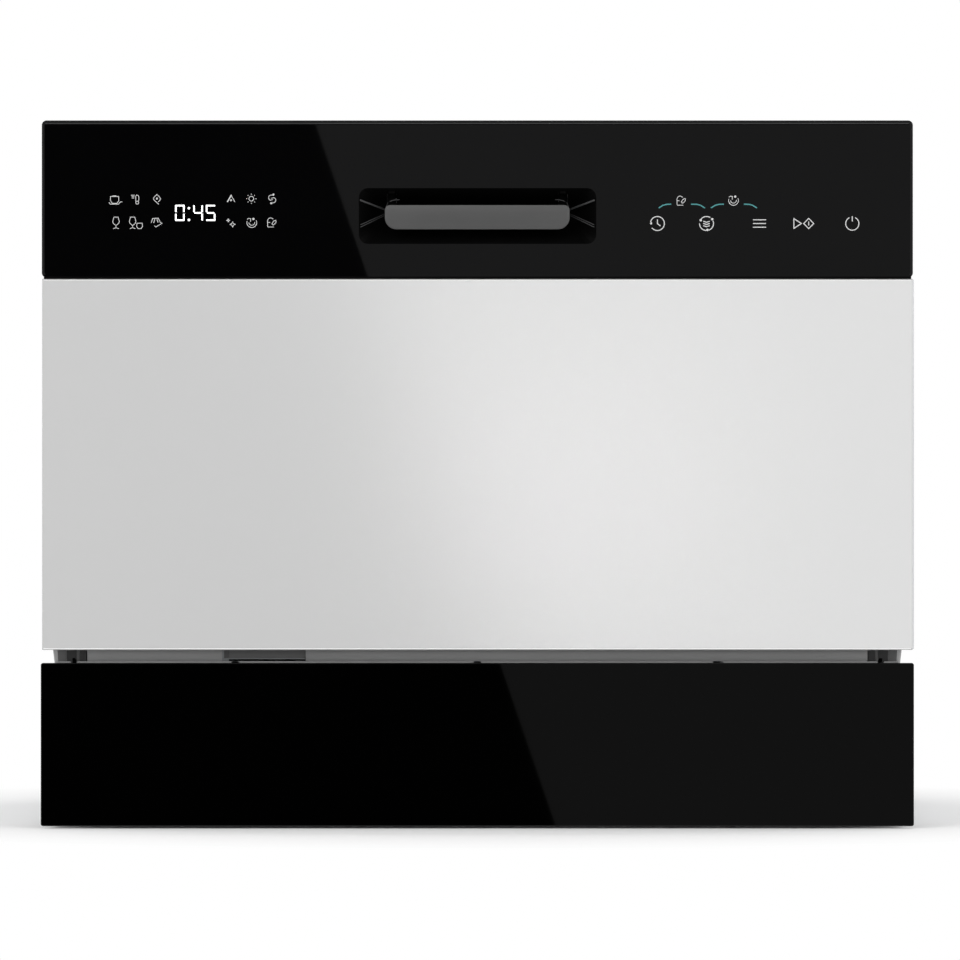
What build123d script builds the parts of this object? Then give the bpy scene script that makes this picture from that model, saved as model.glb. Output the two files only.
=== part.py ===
from build123d import *
import math
import os

# Compact dishwasher that stands on a worktop. Millimetres, +Z up, front towards -Y.
# The origin is on the floor plane, at the centre of the footprint.

# Outside
width = 550.0
depth = 500.0
kick_height = 102.8
kick_bottom = 1.5
door_gap = 8.2
panel_height = 233.8
panel_inset = 0.9
seam = 0.7
fascia_height = 99.0
fascia_inset = 0.7
glass_thick = 4.0
case_inset = 8.0
case_drop = 1.0
sheet = 1.0
wall = 3.0
touch = 0.3
running = 0.08
panel_bevel = 4.0
cover_height = 11.0
cover_thick = 2.5
kick_clip_x = 152.5
kick_rib_inset = 95.0

front = -depth / 2
rear = depth / 2
kick_top = kick_bottom + kick_height
door_bottom = kick_top + door_gap
panel_half = width / 2 - panel_inset
panel_top = door_bottom + panel_height
fascia_half = width / 2 - fascia_inset
fascia_bottom = panel_top + seam
fascia_top = fascia_bottom + fascia_height
fascia_middle = (fascia_bottom + fascia_top) / 2
case_half = width / 2 - case_inset
case_top = fascia_top - case_drop
cover_low = case_top - cover_height

# Door, its skin and its pressed inner side
door_thick = 45.0
panel_sheet = 1.5
panel_hem = 12.0
dish_depth = 17.0
dish_side_gap = 12.0
dish_low_gap = 1.8
dish_top_gap = 6.0
case_gap = 2.0
channel_depth = 6.0
liner_rim = 24.0
liner_drop = 4.5
liner_top_gap = 3.0
screw_line = 17.0

liner_face = front + door_thick
liner_back = liner_face - sheet
dish_y = liner_face - dish_depth
case_front = liner_face + case_gap
collar_face = case_front + channel_depth
collar_back = collar_face + sheet

# Hinge
pivot_back = 15.0
pivot_up = 12.0
pin_radius = 4.0
eye_radius = 9.0
bracket_thick = 3.0
bracket_rise = 45.0
arm_thick = 2.5
arm_gap = 1.0
arm_height = 112.0
lever_back = 34.0
lever_up = 12.0
link_thick = 3.2
link_gap = 0.5
spring_start = 117.0
spring_length = 140.0
spring_radius = 5.0
spring_bore = 2.5
spring_tail = 14.0

pivot_y = front + pivot_back
pivot_z = door_bottom + pivot_up
open_flange = pivot_z + liner_face - pivot_y
spring_front_y = pivot_y + spring_start
spring_rear_y = spring_front_y + spring_length
spring_anchor_y = spring_rear_y + spring_tail

# Tub
tub_side_gap = 29.0
tub_roof_gap = 30.0
tub_back_gap = 35.0
rail_lift = 1.7
roof_corner = 25.0
pit_x = -30.0
pit_y = -30.0
pit_half = 95.0
pit_drop = 16.2
slope_side = 16.0
slope_front = 11.0
slope_back = 15.0
press_side = 58.0
press_edge = 44.4
collar_rim = 13.5
collar_drop = 4.0
seal_width = 8.0
seal_edge = 3.5
seal_corner = 12.0

tub_half = case_half - tub_side_gap
tub_roof = case_top - tub_roof_gap
tub_back_y = rear - tub_back_gap
rail_z = open_flange + rail_lift
pit_z = rail_z - pit_drop
sump_hole_half = pit_half - 10
slope_half = tub_half - slope_side
slope_front_y = collar_back + slope_front
slope_back_y = tub_back_y - slope_back
collar_top = case_top - collar_drop
collar_half = tub_half + collar_rim
liner_half = tub_half + liner_rim
liner_low = pivot_z - liner_drop
liner_top = case_top - liner_top_gap
dish_half = tub_half - dish_side_gap
dish_low = rail_z + dish_low_gap
dish_high = tub_roof - dish_top_gap

# Base tray
base_bottom = 14.0
base_side_gap = 0.5
sill_rise = 14.5
sill_step = 9.0
sill_beyond_tub = 7.0
sill_notch_x = -134.5
sill_notch_width = 53.0
recess_side = 17.5
recess_width = 208.0
recess_low = 26.0
recess_top_gap = 8.0
recess_deep = 26.0

sill_top = door_bottom + sill_rise
sill_half = tub_half + sill_beyond_tub
base_top = sill_top - sill_step
base_floor = base_bottom + wall
base_half = case_half - sheet - base_side_gap
base_inner = base_half - wall
recess_right = base_half - recess_side
recess_left = recess_right - recess_width
recess_high = base_top - recess_top_gap
port_wall_y = rear - recess_deep
bracket_low = base_floor + bracket_rise
arm_x1 = base_inner - bracket_thick - arm_gap
arm_x0 = arm_x1 - arm_thick
link_x1 = arm_x0 - link_gap
link_x0 = link_x1 - link_thick
link_x = (link_x0 + link_x1) / 2

# Feet
foot_inset = 40.5
front_foot_back = 85.0
rear_foot_ahead = 45.0
foot_pad_radius = 16.0
foot_pad_thick = 8.0
foot_stem_radius = 4.0
foot_stem_top = 42.0
rear_foot_radius = 14.0

foot_x = base_half - foot_inset
front_foot_y = front + front_foot_back
rear_foot_y = rear - rear_foot_ahead

# Handle pocket and lever
rim = 1.6
glass_sheet = 3.0
shelf_sheet = 2.5
pocket_up = 38.8
pocket_width = 149.6
pocket_height = 35.1
pocket_corner = 6.0
pocket_deep = 22.0
pocket_wall = 1.5
pocket_flange = 10.0
well_inset = 16.3
well_up = 2.6
well_height = 8.0
well_corner = 3.0
lever_side_gap = 0.25
lever_height = 15.4
lever_drop = 0.7
lever_thick = 4.5
lever_inset = 0.8
lever_pivot_back = 13.0
lever_pivot_drop = 0.85
lever_pin_radius = 2.0
lever_arm_inset = 4.25
lever_arm_thick = 5.0

glass_back = front + glass_sheet
frame_back = glass_back + shelf_sheet
pocket_z = fascia_bottom + pocket_up
pocket_z_high = pocket_z + pocket_height / 2 + pocket_wall + 0.2
well_width = pocket_width - 2 * well_inset
well_z = pocket_z + well_up
lever_width = well_width - 2 * lever_side_gap
lever_z = pocket_z - lever_drop
lever_pivot_y = front + lever_pivot_back
lever_pivot_z = pocket_z + pocket_height / 2 - lever_pivot_drop
lever_arm_x = lever_width / 2 - lever_arm_inset

# Windows and boards behind the glass
window_half = 15.0
mark_inset = 59.3
mark_pitch = 37.0
key_insets = (161.3, 129.3, 97.3, 67.3, 38.3)
board_thick = 1.6
display_half = 15.0

# Latch
hook_pivot_in = 12.0
hook_pivot_drop = 17.0
hook_thick = 5.0
strike_out = 5.5
strike_drop = 14.0
strike_radius = 1.5
strike_half = 10.0
release_gap = 0.4

hook_pivot_y = liner_face - hook_pivot_in
hook_pivot_z = case_top - hook_pivot_drop
strike_y = liner_face + strike_out
strike_z = case_top - strike_drop

# Dispenser in the door
dispenser_drop = 109.0
dispenser_width = 200.0
dispenser_height = 80.0
dispenser_proud = 3.0
dispenser_deep = 18.0
cup_width = 60.0
cup_height = 56.0
lid_width = 68.0
lid_height = 64.0
lid_thick = 2.5
lid_gap = 7.0
rinse_inset = 28.0
rinse_radius = 19.0
rinse_thick = 6.0

dispenser_z = dish_high - dispenser_drop
dispenser_face = dish_y + dispenser_proud
rinse_x = rinse_inset - dispenser_width / 2
cup_x = rinse_x + rinse_radius + lid_gap + lid_width / 2

# Rack
wheel_side_gap = 3.0
wheel_radius = 11.0
wheel_width = 7.0
wheel_inset = 83.0
axle_radius = 3.0
rack_to_wheel = 15.5
rack_front_gap = 4.0
rack_back_gap = 12.0
rack_lift = 23.8
rack_mid_rise = 55.0
rack_rise = 110.0
fine_wire = 1.6
rim_wire = 2.0
weld_gap = 0.02
rack_corner = 22.0
corner_clear = 24.0
floor_clear = 8.0
long_wire_count = 13
cross_wire_count = 9
side_wire_count = 8
end_wire_count = 12
tine_height = 66.0
tine_inset = 26.0
tine_pitch = 27.0
tine_overhang = 8.0
basket_clear = 40.0
front_row_back = 183.0
rear_row_ahead = 118.0
shelf_reach = 94.0
shelf_length = 200.0
shelf_ahead = 55.0
shelf_thick = 3.0
basket_width = 58.0
basket_length = 190.0
basket_height = 106.0
basket_back = 43.0
basket_side_gap = 3.0

wheel_x = tub_half - wheel_side_gap - wheel_width / 2
wheel_z = rail_z + touch + wheel_radius
rack_half = wheel_x - rack_to_wheel
rack_front = collar_face + rack_front_gap
rack_back = tub_back_y - rack_back_gap
rack_bottom = rail_z + rack_lift
rack_mid_z = rack_bottom + rack_mid_rise
rack_rim_z = rack_bottom + rack_rise
wheel_front_y = rack_front + wheel_inset
wheel_rear_y = rack_back - wheel_inset
side_in = rack_half - 2 * rim_wire
end_front = rack_front + rim_wire
end_back = rack_back - rim_wire
wire_step = fine_wire + rim_wire + weld_gap
wire_half = rack_half - rim_wire - wire_step
wire_front = end_front + wire_step
wire_back = end_back - wire_step
low_wire_z = rack_bottom + fine_wire
cross_wire_z = low_wire_z + 2 * fine_wire + weld_gap
wall_foot_z = cross_wire_z + fine_wire + weld_gap
floor_top = cross_wire_z + fine_wire
basket_right = side_in - fine_wire - basket_side_gap
basket_left = basket_right - basket_width
tine_z = floor_top + rim_wire + touch
tine_left = tine_inset - rack_half
tine_count = int((basket_left - basket_clear - tine_left) / tine_pitch) + 1
tine_rows_y = (rack_front + front_row_back, rack_back - rear_row_ahead)

# Water parts
arm_x = 0.0
arm_y = 5.0
spray_clear = 20.0
spray_up = 3.8
spray_thick = 8.0
spray_width = 34.0
hub_radius = 20.0
hub_rise = 4.5
post_radius = 9.0
post_rise = 7.0
post_neck = 6.0
well_offset = 40.0
cup_radius = 33.0
cup_wall = 2.0
cup_deep = 52.0
sump_well_gap = 7.0
sump_well_deep = 28.0
filter_thick = 1.5
softener_side = 47.5
softener_width = 120.0
softener_length = 115.0
softener_top_gap = 24.2
valve_clear = 64.0
salt_from_right = 65.0
salt_from_back = 50.0
salt_neck_radius = 27.0
salt_neck_drop = 1.8
salt_cap_thick = 4.1
float_side = 58.0
float_back = 67.0
float_radius = 17.0
float_drop = 2.0
float_height = 12.0
switch_drop = 23.2
inlet_side = 48.0
inlet_z = 75.0
inlet_radius = 13.22
inlet_length = 14.0
inlet_shoulder = 2.0
valve_half = 22.0
valve_length = 46.0
drain_side = 20.0
drain_z = 60.0
drain_radius = 9.5
drain_bore = 7.0
drain_length = 20.0
drain_inside = 16.0
cord_side = 70.0
cord_z = 88.0
cord_radius = 4.0
cord_length = 12.0
pump_side = 102.5
pump_rise = 53.0
pump_radius = 36.0
pump_length = 110.0
pump_outlet_up = 25.0
volute_radius = 44.0
volute_thick = 30.0
drain_pump_drop = 13.0
hose_x = 20.0
hose_gap = 16.0
vent_radius = 19.0
vent_ahead = 95.0
vent_drop = 90.0
air_back_gap = 45.0
air_length = 245.0
air_low_gap = 13.8
air_high_gap = 15.0
air_side_gap = 9.0
air_rib_pitch = 35.0

spray_bottom = rail_z + spray_up
spray_top = spray_bottom + spray_thick
spray_radius = tub_back_y - arm_y - spray_clear
well_x = pit_x - well_offset
well_y = pit_y - well_offset
cup_bottom = pit_z - cup_deep
cup_top = pit_z + touch + filter_thick + touch
sump_well_radius = cup_radius + sump_well_gap
sump_well_low = cup_bottom - sump_well_deep
softener_right = base_inner - softener_side
softener_back = port_wall_y - valve_clear
softener_top = rail_z - softener_top_gap
salt_x = softener_right - salt_from_right
salt_y = softener_back - salt_from_back
salt_neck_top = rail_z - salt_neck_drop
float_x = tub_half - float_side
float_y = collar_face + float_back
float_bottom = rail_z - float_drop
switch_top = float_bottom - switch_drop
inlet_x = recess_right - inlet_side
valve_y = port_wall_y - wall - valve_length / 2
drain_x = recess_left + drain_side
cord_x = recess_left + cord_side
pump_x = pump_side - base_inner
pump_z = base_floor + pump_rise
pump_front_y = arm_y - volute_thick / 2
drain_pump_z = cup_bottom - drain_pump_drop
hose_side = tub_half + hose_gap
air_back_y = rear - air_back_gap
air_front_y = air_back_y - air_length
air_low = rail_z + air_low_gap
air_high = tub_roof - air_high_gap
vent_y = air_back_y - vent_ahead
vent_z = air_high - vent_drop


def box(x0, x1, y0, y1, z0, z1):
    """A block between two corners."""
    return Pos((x0 + x1) / 2, (y0 + y1) / 2, (z0 + z1) / 2) * Box(x1 - x0, y1 - y0, z1 - z0)


def disc_z(x, y, z0, z1, radius):
    """An upright cylinder."""
    return Pos(x, y, (z0 + z1) / 2) * Cylinder(radius, z1 - z0)


def disc_y(x, z, y0, y1, radius):
    """A cylinder that points to the rear."""
    return Pos(x, (y0 + y1) / 2, z) * Rot(90, 0, 0) * Cylinder(radius, y1 - y0)


def disc_x(y, z, x0, x1, radius):
    """A cylinder that points sideways."""
    return Pos((x0 + x1) / 2, y, z) * Rot(0, 90, 0) * Cylinder(radius, x1 - x0)


def front_plate(width, tall, corner, y0, y1, x=0.0, z=0.0):
    """An upright plate with round corners, seen from the front."""
    flat = extrude(RectangleRounded(width, tall, corner), y1 - y0)
    return Pos(x, y1, z) * Rot(90, 0, 0) * flat


def flat_plate(width, long, corner, z0, z1, x=0.0, y=0.0):
    """A level plate with round corners."""
    return Pos(x, y, z0) * extrude(RectangleRounded(width, long, corner), z1 - z0)


def side_cut(points, x0, x1):
    """A side outline of (y, z) points, run from x0 to x1."""
    face = make_face(Polyline(*points, close=True))
    return Pos(x0, 0, 0) * extrude(Plane.YZ * face, x1 - x0)


def both_sides(shape):
    """The shape and its mirror image on the other side of the machine."""
    return [shape, mirror(shape, about=Plane.YZ)]


def wire(start, end, radius):
    """A straight wire between two points, with eight flats so that many of them stay light."""
    along = Vector(*end) - Vector(*start)
    section = Plane(start, z_dir=along) * RegularPolygon(radius, 8)
    return extrude(section, along.length)


def bent(points, radii, radius):
    """A wire or hose with eight flats, along straight runs joined by tangent arcs."""
    path = FilletPolyline(*points, radius=radii)
    return sweep(Plane(path @ 0, z_dir=path % 0) * RegularPolygon(radius, 8), path)


def soft_outline(width, tall, corner, x=0.0, y=0.0, flats=3):
    """Points round a rectangle whose corners are rounded in a few flats."""
    points = []
    for quarter in range(4):
        sx, sy = ((1, 1), (-1, 1), (-1, -1), (1, -1))[quarter]
        cx = x + sx * (width / 2 - corner)
        cy = y + sy * (tall / 2 - corner)
        for step in range(flats + 1):
            angle = math.radians(90 * quarter + 90 * step / flats)
            points.append((cx + corner * math.cos(angle), cy + corner * math.sin(angle)))
    return points


def flat_sided(low, high):
    """A solid with flat sides between two outlines of points whose edges run alike."""
    faces = [make_face(Polyline(*low, close=True)), make_face(Polyline(*high, close=True))]
    for n in range(len(low)):
        faces.append(make_face(Polyline(low[n - 1], low[n], high[n], high[n - 1], close=True)))
    return Solid(Shell(faces))


def peg(start, end, radius, sides=12):
    """A pin or boss with flat sides, where nothing turns on it."""
    along = Vector(*end) - Vector(*start)
    section = Plane(start, z_dir=along) * RegularPolygon(radius, sides)
    return extrude(section, along.length)


def spread(start, end, count):
    """Even places from start to end."""
    return [start + (end - start) * n / (count - 1) for n in range(count)]


# Base, kick panel and casing

def base_tray():
    tray = box(-base_half, base_half, case_front, rear, base_bottom, base_top)
    front_corners = tray.edges().filter_by(Axis.Z).group_by(Axis.Y)[0]
    tray = chamfer(front_corners, panel_bevel + base_side_gap)
    tray -= box(-base_inner, base_inner, case_front + wall, rear - wall, base_floor, base_top + wall)
    tray += box(-sill_half, sill_half, case_front, case_front + wall, base_floor, sill_top)
    for side in (-1, 1):
        x0, x1 = sorted((side * (sill_half + 1), side * (base_half + 1)))
        tray -= box(x0, x1, case_front - 1, case_front + wall + 1, kick_top - 4, sill_top)
    notch = sill_notch_width / 2
    tray -= box(sill_notch_x - notch, sill_notch_x + notch, case_front - 1, case_front + wall + 1, kick_top + 2,
                door_bottom + 4)
    block = box(recess_left - wall, recess_right + wall, port_wall_y - wall, rear, recess_low - wall,
                recess_high + wall)
    tray += block - box(-base_half, base_half, port_wall_y, rear, base_bottom - 1, recess_low - wall)
    tray -= box(recess_left, recess_right, port_wall_y, rear + 1, recess_low, recess_high)
    tray -= disc_y(inlet_x, inlet_z, port_wall_y - wall - 1, rear, inlet_radius + inlet_shoulder + touch)
    tray -= disc_y(drain_x, drain_z, port_wall_y - wall - 1, rear, drain_radius + touch)
    tray -= disc_y(cord_x, cord_z, port_wall_y - wall - 1, rear, cord_radius + 2 + touch)
    for x in (-foot_x, foot_x):
        boss = peg((x, front_foot_y, base_bottom), (x, front_foot_y, foot_stem_top + 4), foot_stem_radius + 7)
        tray += boss
        tray -= disc_z(x, front_foot_y, base_bottom - 1, foot_stem_top + 1, foot_stem_radius + running)
    for x in (-tub_half + 6, tub_half - 6):
        for y in (slope_front_y, tub_back_y - 65):
            tray += box(x - 5, x + 5, y - 6, y + 6, base_floor, rail_z - sheet)
    for side in (-1, 1):
        x0, x1 = sorted((side * (tub_half + 10), side * base_inner))
        tray += box(x0, x1, spring_anchor_y, spring_anchor_y + 4, base_floor, pivot_z + lever_up + 8)
    return tray


def foot_front(x):
    pad = Pos(x, front_foot_y, 0) * extrude(RegularPolygon(foot_pad_radius, 12), foot_pad_thick)
    return pad + disc_z(x, front_foot_y, foot_pad_thick - 1, foot_stem_top, foot_stem_radius)


def rear_feet():
    return [disc_z(x, rear_foot_y, 0, base_bottom, rear_foot_radius) for x in (-foot_x, foot_x)]


def kick_glass():
    z = (kick_bottom + kick_top) / 2
    glass = front_plate(width, kick_height, 1.5, front, front + glass_thick, 0, z)
    return chamfer(glass.faces().sort_by(Axis.Y)[0].edges(), 0.6)


def kick_carrier():
    back = front + glass_thick
    half = width / 2 - 5
    rib_half = width / 2 - kick_rib_inset
    low = kick_bottom + 4
    high = kick_top - 2.8
    shell = box(-half, half, back, case_front - touch, low, high)
    shell -= box(-half + 2.5, half - 2.5, back + 2.5, case_front, low - 1, high - 2.5)
    for x in spread(-rib_half, rib_half, 4):
        shell += box(x - 1, x + 1, back + 2, case_front - touch, high - 30, high - 1)
    for x in (-kick_clip_x, 0, kick_clip_x):
        clip = box(x - 2.5, x + 2.5, front + 1.5, back + 3, kick_top, kick_top + 1)
        clip = fillet(clip.edges().filter_by(Axis.Y).group_by(Axis.Z)[-1], 0.9)
        shell += clip + box(x - 2.5, x + 2.5, back, back + 3, high - 5, kick_top + 0.2)
    return shell


def side_panel():
    """Folded sheet: the outer wall, a bevelled front edge turned in, and a rear flange."""
    bevel = panel_bevel
    inset = sheet * (math.sqrt(2) - 1)
    lip = hose_side
    back = rear - 3
    points = [
        (case_half, back), (case_half, case_front + bevel), (case_half - bevel, case_front),
        (lip, case_front), (lip, case_front + sheet), (case_half - bevel - inset, case_front + sheet),
        (case_half - sheet, case_front + bevel + inset), (case_half - sheet, back - sheet),
        (lip, back - sheet), (lip, back)]
    bottom = base_bottom + 2
    panel = Pos(0, 0, bottom) * extrude(make_face(Polyline(*points, close=True)), cover_low - touch - bottom)
    slot_top = pivot_z + lever_back + lever_up
    panel -= box(lip - 1, case_half - bevel, case_front - 1, case_front + 8, bottom - 1, slot_top)
    return panel - box(lip - 1, case_half - sheet, back - 2, back + 1, bottom - 1, base_top + 1)


def top_cover():
    cover = box(-case_half, case_half, case_front, rear - 2, cover_low, case_top)
    cover = fillet(cover.edges().filter_by(Axis.Z) + cover.faces().sort_by(Axis.Z)[-1].edges(), 2.2)
    cover -= box(-case_half + cover_thick, case_half - cover_thick, case_front + cover_thick,
                 rear - 2 - cover_thick, cover_low - 1, case_top - cover_thick)
    notch = case_half - 13
    return cover - box(-notch, notch, case_front - 1, case_front + 8, cover_low - 1, collar_top + touch)


def rear_panel():
    inner = rear - 3
    low = base_top
    high = cover_low - touch
    half = case_half - 3
    panel = box(-half, half, inner, inner + sheet, low, high)
    middle = (low + high) / 2
    panel += front_plate(2 * half - 70, high - low - 60, 20, inner, rear, 0, middle)
    panel -= front_plate(2 * half - 70 - 2 * sheet, high - low - 60 - 2 * sheet, 19, inner - 1, rear - sheet,
                         0, middle)
    for z in range(5):
        panel -= box(-60, 60, inner - 1, rear + 1, low + 48 + 12 * z, low + 52 + 12 * z)
    return panel


# Tub

def tub_wrap():
    """Side walls and roof in one sheet, with round upper corners."""
    half = tub_half
    tall = tub_roof - rail_z
    outer = RectangleRounded(2 * half + 2 * sheet, 2 * tall, roof_corner + sheet)
    inner = RectangleRounded(2 * half, 2 * tall - 2 * sheet, roof_corner)
    ring = extrude(outer - inner, tub_back_y - collar_back)
    ring = Pos(0, tub_back_y, rail_z + sheet) * Rot(90, 0, 0) * ring
    ring -= box(-case_half, case_half, rear * -1, rear, -case_top, rail_z)
    ring -= disc_x(vent_y, vent_z, half - 2, half + 3, vent_radius + touch)
    return ring


def tub_back():
    half = tub_half + sheet
    tall = tub_roof + sheet - rail_z + sheet
    z = (tub_roof + rail_z) / 2
    plate = front_plate(2 * half, tall, roof_corner, tub_back_y, tub_back_y + sheet, 0, z)
    plate += box(-half, half, tub_back_y, tub_back_y + sheet, rail_z - sheet, rail_z + roof_corner)
    wide = 2 * (tub_half - press_side)
    high = tub_roof - rail_z - 2 * press_edge

    def pressing(depth_in, shrink, corner):
        place = Plane.XZ.offset(-tub_back_y - depth_in) * Pos(0, z)
        return place * RectangleRounded(wide - shrink, high - shrink, corner)

    field = loft([pressing(0, 0, 20), pressing(5, 10, 18)])
    hollow = loft([pressing(-0.01, 2, 19), pressing(4, 12, 17)])
    return plate + field - hollow


def tub_floor():
    """Flat rails along the edge, with a slope down to the sump."""
    slope_l = slope_back_y - slope_front_y
    slope_y = (slope_back_y + slope_front_y) / 2
    floor = box(-tub_half - sheet, tub_half + sheet, collar_back, tub_back_y, rail_z - sheet, rail_z)

    def bowl(grow, low):
        end = soft_outline(2 * pit_half, 2 * pit_half, 18, pit_x, pit_y)
        top = soft_outline(2 * slope_half, slope_l, 40, 0, slope_y)
        return flat_sided([(*point, low) for point in end], [(*point, rail_z + grow) for point in top])

    floor += bowl(-sheet, pit_z - sheet)
    floor -= bowl(0, pit_z)
    floor -= flat_plate(2 * sump_hole_half, 2 * sump_hole_half, 12, pit_z - 5, pit_z + 1, pit_x, pit_y)
    floor -= disc_z(salt_x, salt_y, pit_z - 5, rail_z + 1, salt_neck_radius + touch)
    return floor - disc_z(float_x, float_y, pit_z - 5, rail_z + 1, 6)


def tub_collar():
    """Front frame of the tub, with the channel for the door seal."""
    low = sill_top
    tall = collar_top - low
    middle = (collar_top + low) / 2
    frame = front_plate(2 * collar_half, tall, 4, case_front, collar_back, 0, middle)
    frame -= front_plate(2 * collar_half - 2 * sheet, tall - 2 * sheet, 3, case_front - 1, collar_face, 0, middle)
    opening = front_plate(2 * tub_half, 2 * (tub_roof - rail_z), roof_corner, case_front, collar_back + 1, 0, rail_z)
    opening -= box(-case_half, case_half, front, rear, -case_top, rail_z)
    frame -= opening
    return frame - box(-12, 12, case_front - 1, collar_back + 1, strike_z - 3, collar_top - 1.1)


def door_seal():
    """A closed rubber ring with a round bulb towards the door."""
    low = rail_z - seal_edge - seal_width - 0.2
    high = tub_roof + seal_edge + seal_width + 0.5
    half = tub_half + seal_edge + seal_width
    middle = (low + high) / 2
    corner = seal_corner + seal_width
    ring = front_plate(2 * half, high - low, corner, liner_face + touch, collar_face, 0, middle)
    ring -= front_plate(2 * half - 2 * seal_width, high - low - 2 * seal_width, corner - seal_width, liner_face,
                        collar_face + 1, 0, middle)
    return chamfer(ring.faces().sort_by(Axis.Y)[0].edges(), 2.2)


def strike():
    """Steel loop that the latch hook drops behind."""
    plate_back = collar_back + 1.5
    plate = box(-17, 17, collar_back, plate_back, strike_z - 7, collar_top - 0.6)
    plate -= box(-6, 6, collar_back - 1, plate_back + 1, strike_z - 1.2, collar_top + 1)
    bar = disc_x(strike_y, strike_z, -strike_half - strike_radius, strike_half + strike_radius, strike_radius)
    for x in (-strike_half, strike_half):
        bar += disc_y(x, strike_z, strike_y, plate_back - 0.5, strike_radius)
    return plate + bar


# Water parts in the base

def sump():
    half = sump_hole_half + 8
    flange_top = pit_z - sheet
    pan = flat_plate(2 * half, 2 * half, 14, flange_top - 3, flange_top, pit_x, pit_y)
    pan += flat_plate(2 * sump_hole_half, 2 * sump_hole_half, 12, flange_top - 20, flange_top - 2, pit_x, pit_y)
    pan -= flat_plate(2 * sump_hole_half - 6, 2 * sump_hole_half - 6, 10, flange_top - 17, flange_top + 1,
                      pit_x, pit_y)
    outer = sump_well_radius
    pan += disc_z(well_x, well_y, sump_well_low, flange_top - 17, outer)
    pan -= disc_z(well_x, well_y, sump_well_low + wall, flange_top, outer - wall)
    pan += disc_z(arm_x, arm_y, cup_bottom - wall, spray_bottom - 3 - touch, post_radius + 5)
    pan += disc_z(arm_x, arm_y, spray_bottom - 4, spray_top + hub_rise, post_radius)
    pan += disc_z(arm_x, arm_y, spray_top, spray_top + post_rise, post_neck)
    return pan


def filter_plate():
    half = sump_hole_half + 7
    plate = flat_plate(2 * half, 2 * half, 15, pit_z + touch, pit_z + touch + filter_thick, pit_x, pit_y)
    plate -= disc_z(well_x, well_y, pit_z - 1, pit_z + 5, cup_radius + 0.7)
    plate -= disc_z(arm_x, arm_y, pit_z - 1, pit_z + 5, post_radius + 5 + touch)
    for row in range(9):
        y = pit_y - half + 16 + 19 * row
        x0 = pit_x + 25 if abs(y - arm_y) > post_radius + 12 else arm_x + post_radius + 12
        plate -= box(x0, pit_x + half - 12, y - 2, y + 2, pit_z - 1, pit_z + 5)
    return plate


def filter_cup():
    top = cup_top
    cup = disc_z(well_x, well_y, cup_bottom, top, cup_radius) + disc_z(well_x, well_y, top, top + 4, cup_radius + 4)
    cup -= disc_z(well_x, well_y, cup_bottom + cup_wall, top + 5, cup_radius - cup_wall)
    bar = box(well_x - cup_radius, well_x + cup_radius, well_y - 3, well_y + 3, top + 1, top + 12)
    bar = chamfer(bar.edges().filter_by(Axis.Y).group_by(Axis.Z)[-1], 5)
    return cup + bar


def spray_blade():
    """One arm: a tapering blade with raised jets and a sloping end."""
    tip = spray_width * 0.7
    outline = make_hull((Pos(24, 0) * Circle(spray_width / 2)).edges()
                        + (Pos(spray_radius - tip / 2, 0) * Circle(tip / 2)).edges())
    blade = Pos(0, 0, spray_bottom) * extrude(outline, spray_thick)
    blade = chamfer(blade.faces().sort_by(Axis.Z)[-1].edges(), 2.4)
    for inset, shift in ((138, 5), (106, -5), (74, 5), (44, -4), (18, 3)):
        place = Pos(spray_radius - inset, shift, spray_top)
        blade += place * Pos(0, 0, -0.5) * extrude(RegularPolygon(4, 8), 2.3, taper=20)
        blade -= place * Box(1.6, 5, 8)
    return blade


def spray_arm():
    top = spray_top + hub_rise
    arm = disc_z(0, 0, spray_bottom - 3, top, hub_radius) + spray_blade() + Rot(0, 0, 180) * spray_blade()
    arm -= disc_z(0, 0, spray_bottom - 4, top + 1, post_radius + running)
    return Pos(arm_x, arm_y, 0) * arm


def spray_arm_nut():
    low = spray_top + hub_rise + touch
    nut = Pos(0, 0, low) * extrude(RegularPolygon(14, 12), 4.6)
    nut -= disc_z(0, 0, low - 1, spray_top + post_rise + touch, post_neck + touch)
    return Pos(arm_x, arm_y, 0) * nut


def softener():
    tank = box(softener_right - softener_width, softener_right, softener_back - softener_length, softener_back,
               base_floor, softener_top)
    tank = chamfer(tank.edges().filter_by(Axis.Z), 14)
    tank += disc_z(salt_x, salt_y, softener_top - 2, salt_neck_top, salt_neck_radius)
    tank += disc_z(salt_x, salt_y, salt_neck_top - 1.8, salt_neck_top, salt_neck_radius + 6)
    return tank - disc_z(salt_x, salt_y, salt_neck_top - 30, salt_neck_top + 1, salt_neck_radius - 5)


def salt_cap():
    low = salt_neck_top + touch
    cap = disc_z(salt_x, salt_y, low, low + salt_cap_thick - 1.4, salt_neck_radius + 2)
    cap += box(salt_x - 20, salt_x + 20, salt_y - 4, salt_y + 4, low, low + salt_cap_thick)
    return cap + disc_z(salt_x, salt_y, low - 16, low, salt_neck_radius - 5 - touch)


def circulation_pump():
    """Volute and motor in one line, with the heater in the volute's housing."""
    y0 = pump_front_y
    y1 = y0 + volute_thick
    y2 = y0 + pump_length
    outlet = pump_z + pump_outlet_up
    body = peg((pump_x, y0, pump_z), (pump_x, y1, pump_z), volute_radius, 20)
    body += peg((pump_x, y1, pump_z), (pump_x, y2, pump_z), pump_radius, 20)
    body += peg((pump_x, y2, pump_z), (pump_x, y2 + 8, pump_z), pump_radius - 12)
    body += peg((pump_x, arm_y, outlet), (pump_x + volute_radius + 8, arm_y, outlet), 12)
    body += box(pump_x - 22, pump_x + 22, y1 + 10, y2 - 10, base_floor, pump_z - 10)
    return body


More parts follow.
